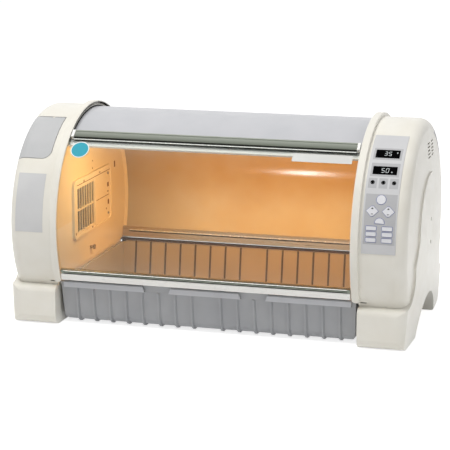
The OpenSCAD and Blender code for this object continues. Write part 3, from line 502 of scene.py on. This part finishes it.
OVERLAY = PrintedFilm(
    "grey_printed_film",
    "#D0D1D4",
    "#CACBCF",
    roughness=0.5,
    fields=(
        DrumWindow(346.8, 412.6, 3.9, 28.7),
        DrumWindow(349.5, 409.5, 47.6, 55.2),
        DrumWindow(349.5, 409.5, 37.9, 45.6),
        DrumWindow(348.0, 366.0, 31.6, 37.0),
        DrumWindow(370.3, 388.3, 31.6, 37.0),
        DrumWindow(392.6, 410.6, 31.6, 37.0),
    ),
)


@dataclass(frozen=True)
class Dressing:
    """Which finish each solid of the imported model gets."""

    finishes: tuple[tuple[Finish, tuple[str, ...]], ...] = (
        (IVORY, ("left_end_cover", "right_end_cover")),
        (FRAME_IVORY, ("left_end_frame", "right_end_frame")),
        (WARM_LIT_IVORY, ("heater_panel", "grille")),
        (ROOF, ("roof_shell",)),
        (TRAY, ("tray",)),
        (LID, ("left_lid", "right_lid")),
        (RAIL, ("roof_front_rail",)),
        (LOW_RAIL, ("door_low_rail",)),
        (REAR_METAL, ("rear_rail", "rear_rail_ends", "wall_peg")),
        (TOP_RAIL, ("door_top_rail",)),
        (SEAL, ("roof_seal_strip",)),
        (WHITE, ("door_handle", "door_low_caps", "door_top_caps")),
        (WHITE, ("sensor_probe", "lamp_holders")),
        (PLATE, ("door_plate",)),
        (RUBBER, ("rubber_pads", "cord_gland", "key_backing")),
        (SCREW, ("cover_screws", "panel_screws", "fan_motor")),
        (FINS, ("heater_element",)),
        (FAN, ("fan_shroud", "fan_impeller")),
        (BOARD, ("control_board",)),
        (SUPPLY, ("power_supply",)),
        (TANK, ("water_tank",)),
        (CAP, ("tank_cap",)),
        (FELT, ("filter_box",)),
        (TUBE, ("lamp_tube",)),
        (OVERLAY, ("control_overlay",)),
        (WINDOW, ("upper_display", "lower_display")),
        (LENS, ("indicator_lamps",)),
        (NOTICE, ("notice_plate",)),
        (DOOR_SHEET, ("door_panel",)),
        (TEAL, ("door_badge",)),
        (KEY, ("power_key", "left_rocker", "right_rocker", "select_key")),
        (KEY, tuple(f"small_key_{i}" for i in range(1, 7))),
    )

    def apply(self, nodes: dict[str, Object]) -> None:
        """Gives every solid its finish.

        Args:
            nodes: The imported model's objects by node name.
        """
        left = set(nodes)
        for finish, names in self.finishes:
            for name in names:
                nodes[name].data.materials.clear()
                nodes[name].data.materials.append(finish.material())
                left.discard(name)
        LOG.info("dressed %d solids, %d left", len(nodes) - len(left), len(left))


# Surfaces


@dataclass(frozen=True)
class DrumPlace:
    """A spot on the drum that carries small flat work.

    A point u to the right, v upwards along the surface and h outwards lies at X = x + u, at the angle
    angle + v / radius and at the radius radius + h.
    """

    x: float
    angle: float
    radius: float

    def at(self, u: np.ndarray, v: np.ndarray, h: np.ndarray) -> np.ndarray:
        """Gives the points of arrays of local places.

        Args:
            u: Places to the right.
            v: Places upwards along the surface.
            h: Heights above the surface.

        Returns:
            Points with their three coordinates in the last axis.
        """
        turn = math.radians(self.angle) + v / self.radius
        r = self.radius + h
        return np.stack([self.x + u, -r * np.cos(turn), AXIS_Z + r * np.sin(turn)], axis=-1)


def rounded_box(width: float, height: float, radius: float, steps: int = 8) -> np.ndarray:
    """Outline of a rectangle with round corners: four arcs of a quarter turn, joined by straight sides.

    Args:
        width: Full width.
        height: Full height.
        radius: Corner radius.
        steps: Points on each corner.

    Returns:
        Points of the closed outline, counter-clockwise.
    """
    turn = np.linspace(0, math.pi / 2, steps)
    starts = np.repeat(np.arange(4) * math.pi / 2, steps)
    angle = starts + np.tile(turn, 4)
    side_x = np.repeat([1, -1, -1, 1], steps) * (width / 2 - radius)
    side_y = np.repeat([1, 1, -1, -1], steps) * (height / 2 - radius)
    return np.stack([side_x + radius * np.cos(angle), side_y + radius * np.sin(angle)], axis=1)


def disc(radius: float, steps: int = 64) -> np.ndarray:
    """Outline of a circle: equal steps of a full turn."""
    turn = np.arange(steps) * 2 * math.pi / steps
    return radius * np.stack([np.cos(turn), np.sin(turn)], axis=1)


def hexagon(tip: float, shoulder: float, rise: float) -> np.ndarray:
    """Outline of a hexagon with two tips on the X axis and four shoulders, the same on both sides."""
    upper = np.array([(tip, 0), (shoulder, rise), (-shoulder, rise)])
    return np.concatenate([upper, -upper])


def dense(outline: np.ndarray, parts: int) -> np.ndarray:
    """Splits each side of a closed outline into equal parts, so that it can follow a curved surface."""
    share = (np.arange(parts) / parts)[None, :, None]
    after = np.roll(outline, -1, axis=0)
    return (outline[:, None] * (1 - share) + after[:, None] * share).reshape(-1, 2)


def grid_quads(rows: int, columns: int, wrap_rows: bool = False) -> np.ndarray:
    """Quads of a grid of points whose columns run round and close.

    Args:
        rows: Rows of points.
        columns: Points in a row.
        wrap_rows: Whether the last row joins the first one.

    Returns:
        Four point numbers for each quad.
    """
    r = np.arange(rows if wrap_rows else rows - 1)[:, None]
    c = np.arange(columns)[None, :]
    r2 = (r + 1) % rows
    c2 = (c + 1) % columns
    quads = np.stack([r * columns + c, r * columns + c2, r2 * columns + c2, r2 * columns + c], axis=-1)
    return quads.reshape(-1, 4)


@dataclass
class Surface:
    """Points and faces of one closed shape."""

    points: np.ndarray
    faces: list[np.ndarray]

    def outward(self) -> Surface:
        """Turns the faces outwards if the enclosed volume comes out negative."""
        volume = 0.0
        for quads in self.faces:
            for i in range(1, quads.shape[1] - 1):
                a, b, c = (self.points[quads[:, k]] for k in (0, i, i + 1))
                volume += float(np.sum(a * np.cross(b, c)))
        if volume < 0:
            self.faces = [quads[:, ::-1] for quads in self.faces]
        return self


def plate(outline: np.ndarray, low: float, high: float, place: DrumPlace, rings: int = 2) -> Surface:
    """A thin plate on the drum: rings of its outline, shrunk towards the middle, below and above.

    Args:
        outline: Closed outline around the middle.
        low: Height of the under side.
        high: Height of the upper side.
        place: Where it lies.
        rings: Rings on each side.

    Returns:
        The closed plate.
    """
    share = np.linspace(1 / rings, 1, rings)
    scale = np.concatenate([share, share[::-1]])
    level = np.repeat([low, high], rings)
    ring = scale[:, None, None] * outline[None]
    heights = np.broadcast_to(level[:, None], ring.shape[:2])
    body = place.at(ring[..., 0], ring[..., 1], heights).reshape(-1, 3)
    zero = np.zeros(2)
    poles = place.at(zero, zero, np.array([low, high]))
    count = len(outline)
    last = (2 * rings - 1) * count
    this = np.arange(count)
    after = np.roll(this, -1)
    under = np.stack([np.full(count, len(body)), after, this], axis=1)
    upper = np.stack([np.full(count, len(body) + 1), last + this, last + after], axis=1)
    quads = grid_quads(2 * rings, count)
    return Surface(np.concatenate([body, poles]), [quads, under, upper]).outward()


def band(inner: np.ndarray, outer: np.ndarray, low: float, high: float, place: DrumPlace) -> Surface:
    """A thin closed line on the drum: a rectangle carried round between two outlines.

    Args:
        inner: Inner outline.
        outer: Outer outline, with as many points.
        low: Height of the under side.
        high: Height of the upper side.
        place: Where it lies.

    Returns:
        The closed ring.
    """
    ring = np.stack([inner, inner, outer, outer])
    level = np.broadcast_to(np.array([low, high, high, low])[:, None], ring.shape[:2])
    points = place.at(ring[..., 0], ring[..., 1], level).reshape(-1, 3)
    return Surface(points, [grid_quads(4, len(inner), wrap_rows=True)]).outward()


def ring(radii: Span, thick: float, place: DrumPlace, steps: int = 64) -> Surface:
    """A thin round line on the drum between two radii."""
    inner, outer = (disc(r, steps) for r in radii)
    return band(inner, outer, 0, thick, place)


def drum_bar(x: Span, angle: Span, r: Span, steps: int = 3) -> Surface:
    """A bar on the drum: a rectangle of X and radius, carried round between two angles.

    Args:
        x: Its two ends along the drum in millimetres.
        angle: Its lower and upper angle in degrees.
        r: Its inner and outer radius in millimetres.
        steps: Places along the angle.

    Returns:
        The closed bar.
    """
    turn = np.radians(np.linspace(angle[0], angle[1], steps))[:, None]
    across = np.array([x[0], x[1], x[1], x[0]])[None] * MM
    out = np.array([r[0], r[0], r[1], r[1]])[None] * MM
    sides = [across + 0 * turn, -out * np.cos(turn), AXIS_Z + out * np.sin(turn)]
    points = np.stack(sides, axis=-1).reshape(-1, 3)
    ends = np.array([[0, 1, 2, 3], [4 * steps - 1, 4 * steps - 2, 4 * steps - 3, 4 * steps - 4]])
    return Surface(points, [grid_quads(steps, 4), ends]).outward()


def block(x: Span, y: Span, z: Span) -> Surface:
    """A box from its spans in millimetres: its lower and its upper rectangle, joined by four sides."""
    ground = np.array([(x[0], y[0]), (x[1], y[0]), (x[1], y[1]), (x[0], y[1])])
    levels = np.repeat(z, 4)[:, None]
    points = np.concatenate([np.concatenate([ground, ground]), levels], axis=1) * MM
    ends = np.array([[3, 2, 1, 0], [4, 5, 6, 7]])
    return Surface(points, [grid_quads(2, 4), ends]).outward()


def join(surfaces: list[Surface]) -> Surface:
    """Puts several closed shapes into one set of points and faces."""
    starts = np.cumsum([0] + [len(s.points) for s in surfaces[:-1]])
    faces = [quads + start for s, start in zip(surfaces, starts) for quads in s.faces]
    return Surface(np.concatenate([s.points for s in surfaces]), faces)


def make_piece(name: str, surface: Surface, finish: Finish, body: Body) -> None:
    """Makes a piece of the object from a surface.

    Args:
        name: Name of the piece.
        surface: Its closed shape.
        finish: Its finish.
        body: Body that carries it.
    """
    mesh = bpy.data.meshes.new(name)
    faces = [tuple(face) for quads in surface.faces for face in quads.tolist()]
    mesh.from_pydata(surface.points.tolist(), [], faces)
    mesh.materials.append(finish.material())
    mesh.validate()
    piece = add_object(name, mesh)
    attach(piece, body.value)
    LOG.info("%s: %d points on %s", name, len(surface.points), body.value)


# Sub-assemblies


@dataclass
class ControlPanel:
    """Print and lit figures on the control overlay, with lengths in metres and angles in degrees."""

    line: float = 0.7 * MM
    gap: float = 0.45 * MM
    displays: tuple[tuple[str, float], ...] = (("35", 51.4), ("50", 41.3))
    figure_h: float = 10.0 * MM
    figure_w: float = 5.4 * MM
    figure_pitch: float = 9.0 * MM
    figure_start: float = -4.0 * MM
    figure_slant: float = 0.12
    segment_gap: float = 0.5 * MM
    stroke: float = 0.8 * MM
    unit_marks: tuple[Span, ...] = ((19.5 * MM, 52.2), (14.5 * MM, 40.4))
    unit_r: Span = (0.7 * MM, 1.4 * MM)
    power_r: float = 9.5 * MM
    power_angle: float = 25.9
    select_r: float = 9.5 * MM
    select_drop: float = 4.0 * MM
    select_foot: float = 5.5 * MM
    select_angle: float = 15.5
    rocker_x: float = 16.7 * MM
    rocker_half: float = 12.5 * MM
    rocker_cut: float = 2.5 * MM
    rocker_angle: float = 20.1
    arrow_mm: tuple[Span, ...] = ((0.0, 2.3), (-2.7, -1.7), (2.7, -1.7))
    dash_mm: tuple[Span, ...] = ((2.4, 0.7), (-2.4, 0.7), (-2.4, -0.7), (2.4, -0.7))
    sign_rise: float = 6.0 * MM
    sign_depth: float = 0.2 * MM
    sign_height: float = 0.1 * MM
    small_size: Span = (21.0 * MM, 8.0 * MM)
    small_corner: float = 1.5 * MM
    small_x: float = 16.6 * MM
    small_angles: tuple[float, ...] = (11.8, 9.0, 6.1)
    lamp_pitch: float = 22.3 * MM
    lamp_angle: float = 34.7
    bezel_r: Span = (2.9 * MM, 4.4 * MM)

    def power_outline(self, grow: float) -> np.ndarray:
        """Outline of the round power key, grown by a distance."""
        return disc(self.power_r + grow)

    def rocker_outline(self, grow: float) -> np.ndarray:
        """Outline of a diamond key, grown by a distance."""
        half = self.rocker_half + grow
        return dense(hexagon(half, self.rocker_cut, half - self.rocker_cut), parts=8)

    def select_outline(self, grow: float) -> np.ndarray:
        """Outline of the small arched key, grown by a distance: a circle cut off at its foot."""
        circle = disc(self.select_r + grow, steps=96) + np.array([0, -self.select_drop])
        circle[:, 1] = np.maximum(circle[:, 1], -self.select_foot - grow)
        return circle

    def small_outline(self, grow: float) -> np.ndarray:
        """Outline of a small flat key, grown by a distance."""
        width, height = (side + 2 * grow for side in self.small_size)
        return dense(rounded_box(width, height, self.small_corner + grow), parts=2)

    def outlined(self, outline: Callable[[float], np.ndarray], x: float, angle: float) -> Surface:
        """A blue line round a key.

        Args:
            outline: Gives the key's outline, grown by a distance.
            x: Place to the right of the panel's middle.
            angle: Angle of the key's middle.

        Returns:
            The closed line.
        """
        place = DrumPlace(PANEL_X + x, angle, PANEL_R)
        return band(outline(self.gap), outline(self.gap + self.line), 0, INK, place)

    def key_lines(self) -> Surface:
        """All blue lines round the keys."""
        lines = [
            self.outlined(self.power_outline, 0, self.power_angle),
            self.outlined(self.select_outline, 0, self.select_angle),
        ]
        for side in (-1, 1):
            lines.append(self.outlined(self.rocker_outline, side * self.rocker_x, self.rocker_angle))
            for angle in self.small_angles:
                lines.append(self.outlined(self.small_outline, side * self.small_x, angle))
        return join(lines)

    def figure(self, segments: str, x: float, angle: float) -> list[Surface]:
        """One seven-segment figure.

        Args:
            segments: Letters a to g of the lit segments.
            x: Place to the right of the display's middle.
            angle: Angle of the display's middle.

        Returns:
            The lit segments.
        """
        half_w = self.figure_w / 2
        half_h = self.figure_h / 2
        spots = {
            "a": (0, half_h, True),
            "b": (half_w, half_h / 2, False),
            "c": (half_w, -half_h / 2, False),
            "d": (0, -half_h, True),
            "e": (-half_w, -half_h / 2, False),
            "f": (-half_w, half_h / 2, False),
            "g": (0, 0, True),
        }
        nib = self.stroke / 2
        made = []
        for letter in segments:
            u, v, lying = spots[letter]
            half = ((self.figure_w if lying else half_h) - self.segment_gap) / 2
            bar = hexagon(half, half - nib, nib)
            if not lying:
                bar = bar[:, ::-1] * np.array([-1, 1])
            turn = angle + math.degrees(v / PANEL_R)
            place = DrumPlace(PANEL_X + x + u + self.figure_slant * v, turn, WINDOW_R)
            made.append(plate(dense(bar, parts=2), 0, INK, place))
        return made

    def figures(self) -> Surface:
        """The displays' plain numbers with small unit marks."""
        shapes = {"3": "abcdg", "5": "acdfg", "0": "abcdef"}
        made = []
        for number, angle in self.displays:
            for i, digit in enumerate(number):
                made += self.figure(shapes[digit], i * self.figure_pitch + self.figure_start, angle)
        for x, angle in self.unit_marks:
            place = DrumPlace(PANEL_X + x, angle, WINDOW_R)
            made.append(ring(self.unit_r, INK, place, steps=24))
        return join(made)

    def signs(self, x: float) -> Surface:
        """A plain arrow above and a dash below on a diamond key."""
        made = []
        for corners_mm, rise in ((self.arrow_mm, self.sign_rise), (self.dash_mm, -self.sign_rise)):
            outline = dense(np.array(corners_mm) * MM, parts=4)
            angle = self.rocker_angle + math.degrees(rise / KEY_R)
            place = DrumPlace(PANEL_X + x, angle, KEY_R)
            made.append(plate(outline, -self.sign_depth, self.sign_height, place))
        return join(made)

    def bezels(self) -> Surface:
        """Black printed rings round the three indicator lamps."""
        spots = [DrumPlace(PANEL_X + i * self.lamp_pitch, self.lamp_angle, PANEL_R) for i in (-1, 0, 1)]
        return join([ring(self.bezel_r, INK, spot, steps=48) for spot in spots])

    def build(self) -> None:
        """Makes the panel's pieces."""
        make_piece("key_lines", self.key_lines(), BLUE, Body.HOUSING)
        make_piece("display_figures", self.figures(), FIGURES, Body.HOUSING)
        make_piece("lamp_bezels", self.bezels(), WINDOW, Body.HOUSING)
        for side, body in ((-1, Body.LEFT_ROCKER), (1, Body.RIGHT_ROCKER)):
            signs = self.signs(side * self.rocker_x)
            make_piece(f"{body.value}_signs", signs, DARK_PRINT, body)


@dataclass
class DoorPrint:
    """Plain print on the door: a white ring on the round badge."""

    badge_x: float = -291.0 * MM
    badge_angle: float = 44.2
    badge_film: float = 0.5 * MM
    ring_r: Span = (18.8 * MM, 20.9 * MM)

    def build(self) -> None:
        """Makes the door's printed piece."""
        badge = DrumPlace(self.badge_x, self.badge_angle, DOOR_R + self.badge_film)
        make_piece("badge_ring", ring(self.ring_r, INK, badge), RING, Body.DOOR)


@dataclass(frozen=True)
class EdgeLine:
    """A line of painted highlight or painted shade along one of the door's rails.

    It lies between two lengths above an angle and between two heights above the door sheet, in millimetres.
    """

    angle: float
    low: float
    high: float
    under: float
    over: float

    def surface(self, half: float) -> Surface:
        """Gives the line's shape between two ends at the same distance from the middle."""
        turns = tuple(self.angle + math.degrees(v * MM / DOOR_R) for v in (self.low, self.high))
        return drum_bar((-half, half), turns, (DOOR_R / MM + self.under, DOOR_R / MM + self.over))


# Holes, drawn as plates of painted shade, and seams in walls across X: middle and full size along Y and Z
# of each, in millimetres
WALL_SPOTS = {
    WALL_FACE: ((9, 326, 3, 3), (8, 309, 3, 4), (158, 293, 7, 14)),
    HEATER_FACE: (
        (45, 294, 5, 4), (-59, 293, 4, 7), (99, 255, 9, 10), (98, 239, 5, 4), (100, 214, 8, 11),
        (86, 200, 4, 4), (-7, 175, 5, 5), (-114, 181, 4, 6), (62, 231, 84, 1.2), (4, 289, 216, 1.2),
    ),
}


@dataclass
class Trims:
    """Painted highlight lines, strips and plates of painted shade, and paler faces of painted light on the
    door, the rims, the tray and the walls.

    Lengths are in millimetres and angles in degrees. The low gap shade and the rear lines have their two
    angles first and then their two radii.
    """

    rail_half: float = 313.5
    # Near-white lines of painted highlight along the rails' edges
    highlight_lines: tuple[EdgeLine, ...] = (
        EdgeLine(TOP_RAIL_A, -5.4, -3.2, 0, 0.8),
        EdgeLine(LOW_RAIL_A, -1.7, 0.1, 2.5, 2.9),
    )
    # Dark lines of painted shade along the rails' edges
    shade_lines: tuple[EdgeLine, ...] = (
        EdgeLine(TOP_RAIL_A, -3.1, -0.2, 0, 0.5),
        EdgeLine(LOW_RAIL_A, -8.5, -6.6, 2.4, 2.8),
        EdgeLine(LOW_RAIL_A, -4.2, -3.1, 2.4, 2.8),
    )
    # Dark strip of painted shade in the gap at the door's lower edge
    low_gap_shade: tuple[Span, Span] = ((LOW_RAIL_A - 7.7, LOW_RAIL_A - 2.2), (233.0, 238.5))
    # Painted highlight and painted shade lines along the rear rail's upper edge
    rear_highlight: tuple[Span, Span] = ((203.0, 203.7), (227.7, 228.6))
    rear_shade: tuple[Span, Span] = ((203.7, 204.3), (227.9, 228.6))
    # Door tracks in the rims, filled with dark rings of painted shade
    track_x: Span = (322.3, 328.5)
    track_a: Span = (53.5, 200.0)
    track_r: tuple[Span, ...] = ((246.1, 247.3), (237.6, 239.8))
    # Bar of painted shadow over the gap behind the tray
    gap_shadow_x: Span = (312.0, 330.9)
    gap_shadow_y: Point = (195.5, 204.0, 211.0)
    gap_shadow_z: Point = (86.0, 101.6, 104.8)
    spot_t: float = 0.4
    # Dark strips of painted shade in the tray's grooves
    groove_start: float = 32.3
    groove_pitch: float = 37.2
    groove_count: int = 8
    groove_half: float = 2.3
    groove_depth: Span = (-0.2, 0.6)
    groove_z: Span = (22.0, 99.0)
    tray_rear: float = 200.0
    tray_top: float = 101.3
    tray_slope: float = 0.149
    # Paler lip faces of painted light
    lip_x: tuple[Span, ...] = ((-319.0, -134.4), (-80.0, 80.0), (134.4, 319.0))
    lip_y: Span = (-216.3, -215.8)
    lip_z: Span = (87.0, 98.0)
    recess_x: float = 107.2
    recess_widening: float = 4.0
    # Dark plate of painted shade behind the grille's slots, as X, Y and Z spans
    mesh: tuple[Span, Span, Span] = ((-331.9, -331.2), (-97.8, 6.8), (182.2, 280.8))
    # Dark plates of painted shade behind the vents
    vent_x: Span = (429.5, 430.5)
    vent_y: Span = (-16.0, 60.0)
    vent_z: Span = (358.0, 412.0)

    def strip(self, angle: Span, r: Span) -> Surface:
        """A line as long as the rails, between two angles and two radii."""
        return drum_bar((-self.rail_half, self.rail_half), angle, r)

    def track_shades(self) -> Surface:
        """Two dark rings of painted shade in the door track of each rim, under the lip and above the roof
        sheet.
        """
        both = [tuple(side * x for x in self.track_x) for side in (-1, 1)]
        return join([drum_bar(ends, self.track_a, r, steps=97) for ends in both for r in self.track_r])

    def gap_shadow_bar(self) -> Surface:
        """A dark brown bar of painted shadow over the gap behind the tray's rear edge, with a short leg at
        each end.
        """
        inner, outer = self.gap_shadow_x
        front, leg, back = self.gap_shadow_y
        foot, low, high = self.gap_shadow_z
        legs = [block(ends, (leg, back), (foot, low)) for ends in ((-outer, -inner), (inner, outer))]
        return join([block((-outer, outer), (front, back), (low, high)), *legs])

    def wall_spots(self) -> Surface:
        """Holes as thin plates of painted shade, and seams as thin dark lines, on their walls."""
        made = []
        for x, spots in WALL_SPOTS.items():
            for y, z, wide, tall in spots:
                across = (y - wide / 2, y + wide / 2)
                made.append(block((x, x + self.spot_t), across, (z - tall / 2, z + tall / 2)))
        return join(made)

    def groove_shades(self) -> Surface:
        """Dark strips of painted shade in the groove mouths inside the tray's rear wall.

        The wall leans: its inner face lies at y = rear - slope * (top - z).
        """
        made = []
        for i in range(self.groove_count):
            for side in (-1, 1):
                middle = side * (self.groove_start + self.groove_pitch * i)
                across = (middle - self.groove_half, middle + self.groove_half)
                line = block(across, self.groove_depth, self.groove_z)
                below = self.tray_top * MM - line.points[:, 2]
                line.points[:, 1] += self.tray_rear * MM - self.tray_slope * below
                made.append(line)
        return join(made)

    def lit_lip_faces(self) -> Surface:
        """Paler faces of painted light on the tray's front lip, left and right of its two finger recesses.

        The recesses widen upwards, so the upper corners beside them move away from the recess's middle.
        """
        end = self.lip_x[-1][1] * MM
        made = []
        for ends in self.lip_x:
            face = block(ends, self.lip_y, self.lip_z)
            x = face.points[:, 0].copy()
            beside = (face.points[:, 2] == face.points[:, 2].max()) & (np.abs(x) < end)
            away = np.sign(x) * np.sign(np.abs(x) - self.recess_x * MM)
            face.points[:, 0] += beside * away * self.recess_widening * MM
            made.append(face)
        return join(made)

    def vent_shades(self) -> Surface:
        """Dark plates of painted shade behind the vents of both covers."""
        low, high = self.vent_x
        return join([block(ends, self.vent_y, self.vent_z) for ends in ((-high, -low), (low, high))])

    def build(self) -> None:
        """Makes the trims."""
        # These pieces stand for light and shade: painted highlights, painted shade and painted light
        bright = join([line.surface(self.rail_half) for line in self.highlight_lines])
        dark = join([line.surface(self.rail_half) for line in self.shade_lines])
        make_piece("door_highlight_line", bright, PAINTED_HIGHLIGHT, Body.DOOR)
        make_piece("door_shade_line", dark, SHADE_STRIP, Body.DOOR)
        make_piece("rim_track_shades", self.track_shades(), SHADE_STRIP, Body.HOUSING)
        make_piece("rear_highlight_line", self.strip(*self.rear_highlight), PAINTED_HIGHLIGHT, Body.HOUSING)
        make_piece("rear_shade_line", self.strip(*self.rear_shade), SHADE_STRIP, Body.HOUSING)
        make_piece("rear_gap_shadow", self.gap_shadow_bar(), GAP_SHADOW, Body.HOUSING)
        make_piece("heater_panel_holes", self.wall_spots(), HOLE, Body.HOUSING)
        make_piece("tray_groove_shades", self.groove_shades(), GROOVE_SHADE, Body.TRAY)
        make_piece("tray_lip_lights", self.lit_lip_faces(), LIP_LIGHT, Body.TRAY)
        make_piece("door_low_gap_shade", self.strip(*self.low_gap_shade), SHADE_STRIP, Body.DOOR)
        make_piece("grille_shade_plate", block(*self.mesh), MESH, Body.HOUSING)
        make_piece("vent_shades", self.vent_shades(), SHADE_STRIP, Body.HOUSING)


# Studio


def hang(name: str, data: ID, place: Vector, way: Vector) -> Object:
    """Makes a lamp or camera at a place, looking along a way."""
    made = add_object(name, data)
    made.location = place
    made.rotation_mode = "QUATERNION"
    made.rotation_quaternion = way.to_track_quat("-Z", "Y")
    return made


@dataclass(frozen=True)
class Lamp:
    """A soft rectangular lamp: places and sizes in metres, the power in watts."""

    name: str
    place: Point
    aim: Point
    size: Span
    power: float
    colour: str
    mirrored: bool = False

    def add(self) -> None:
        """Hangs the lamp up. It doesn't show itself, apart from glossy surfaces if it is mirrored."""
        data = bpy.data.lights.new(self.name, "AREA")
        data.shape = "RECTANGLE"
        data.size, data.size_y = self.size
        data.energy = self.power
        data.color = linear(self.colour)[:3]
        place = Vector(self.place)
        made = hang(self.name, data, place, Vector(self.aim) - place)
        made.visible_camera = False
        made.visible_glossy = self.mirrored


LAMPS = (
    Lamp("key", (-0.7, -1.1, 3.5), (0, 0, 0.25), (2.2, 1.6), 92, "#FFFDF8"),
    Lamp("fill", (3.0, -1.0, 1.3), (0.4, 0, 0.25), (1.6, 1.4), 15, "#FCFAF6"),
    Lamp("streak", (-0.335, -1.25, 2.53), (0.2, -0.19, 0.37), (0.12, 0.17), 2.4, "#FFFFFF", True),
    Lamp("heat_front", (0.15, -0.08, 0.37), (0.16, 0.16, 0.2), (0.34, 0.05), 0.55, "#FFB956"),
    Lamp("heat_left", (-0.16, -0.1, 0.36), (-0.33, -0.04, 0.26), (0.1, 0.06), 0.44, "#FFCE8A"),
    Lamp("heat_tray", (0.04, -0.06, 0.2), (0.04, 0.2, 0.06), (0.5, 0.04), 0.64, "#FFA22A"),
)


@dataclass
class Studio:
    """Pale floor, soft lamps, the warm light inside the box and the camera."""

    azimuth: float = 15.846
    elevation: float = 12.443
    distance: float = 3.8706
    lens: float = 138.33
    sensor: float = 36.0
    sight: float = 200.0
    target: Point = (-14.83 * MM, 0.0, 197.17 * MM)
    floor_half: float = 40.0
    floor_colour: str = "#EDEDED"
    floor_lift: float = 0.76
    sky: float = 0.3

    def camera(self) -> None:
        """Sets the camera at the photograph's place: its back direction from azimuth and elevation."""
        a = math.radians(self.azimuth)
        e = math.radians(self.elevation)
        back = Vector((math.sin(a) * math.cos(e), -math.cos(a) * math.cos(e), math.sin(e)))
        data = bpy.data.cameras.new("camera")
        data.lens = self.lens
        data.sensor_width = self.sensor
        data.clip_end = self.sight
        place = Vector(self.target) + back * self.distance
        bpy.context.scene.camera = hang("camera", data, place, -back)

    def seen(self, tree: NodeTree) -> NodeSocket:
        """Gives 1 for rays that show the background: from the camera, in gloss and through glass."""
        path = add_node(tree, "ShaderNodeLightPath").outputs
        shown = path["Is Camera Ray"]
        for other in ("Is Glossy Ray", "Is Transmission Ray"):
            shown = calculate(tree, "MAXIMUM", shown, path[other])
        return shown

    def world(self) -> None:
        """Makes an even pale sky that shows as white."""
        made = bpy.data.worlds.new("studio")
        tree = empty_tree(made)
        strength = ramp(tree, self.seen(tree), (0.0, 1.0), (self.sky, 1.0))
        light = add_node(tree, "ShaderNodeBackground", inputs={"Color": PURE_WHITE, "Strength": strength})
        add_node(tree, "ShaderNodeOutputWorld", inputs={"Surface": light.outputs[0]})
        bpy.context.scene.world = made

    def floor(self) -> None:
        """Makes the pale floor, which shows nearly white and keeps the shadow."""
        half = self.floor_half
        mesh = bpy.data.meshes.new("floor")
        square = [(-half, -half, 0), (half, -half, 0), (half, half, 0), (-half, half, 0)]
        mesh.from_pydata(square, [], [(0, 1, 2, 3)])
        made = bpy.data.materials.new("pale_studio_floor")
        tree = empty_tree(made)
        matte = add_node(tree, "ShaderNodeBsdfDiffuse", inputs={"Color": linear(self.floor_colour)})
        lift = calculate(tree, "MULTIPLY", self.seen(tree), self.floor_lift)
        glow = add_node(tree, "ShaderNodeEmission", inputs={"Color": PURE_WHITE, "Strength": lift})
        both = add_node(tree, "ShaderNodeAddShader", inputs={0: matte.outputs[0], 1: glow.outputs[0]})
        add_node(tree, "ShaderNodeOutputMaterial", inputs={"Surface": both.outputs[0]})
        mesh.materials.append(made)
        plane = add_object("floor", mesh)

    def build(self) -> None:
        """Makes the whole studio."""
        bpy.context.scene.view_settings.view_transform = "Standard"
        self.camera()
        self.world()
        self.floor()
        for lamp in LAMPS:
            lamp.add()


def main() -> None:
    """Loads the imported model, dresses it and sets up the studio."""
    logging.basicConfig(level=logging.INFO, format="%(name)s: %(message)s")
    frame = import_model()
    Dressing().apply(frame["nodes"])
    ControlPanel().build()
    DoorPrint().build()
    Trims().build()
    Studio().build()


if __name__ == "__main__":
    main()
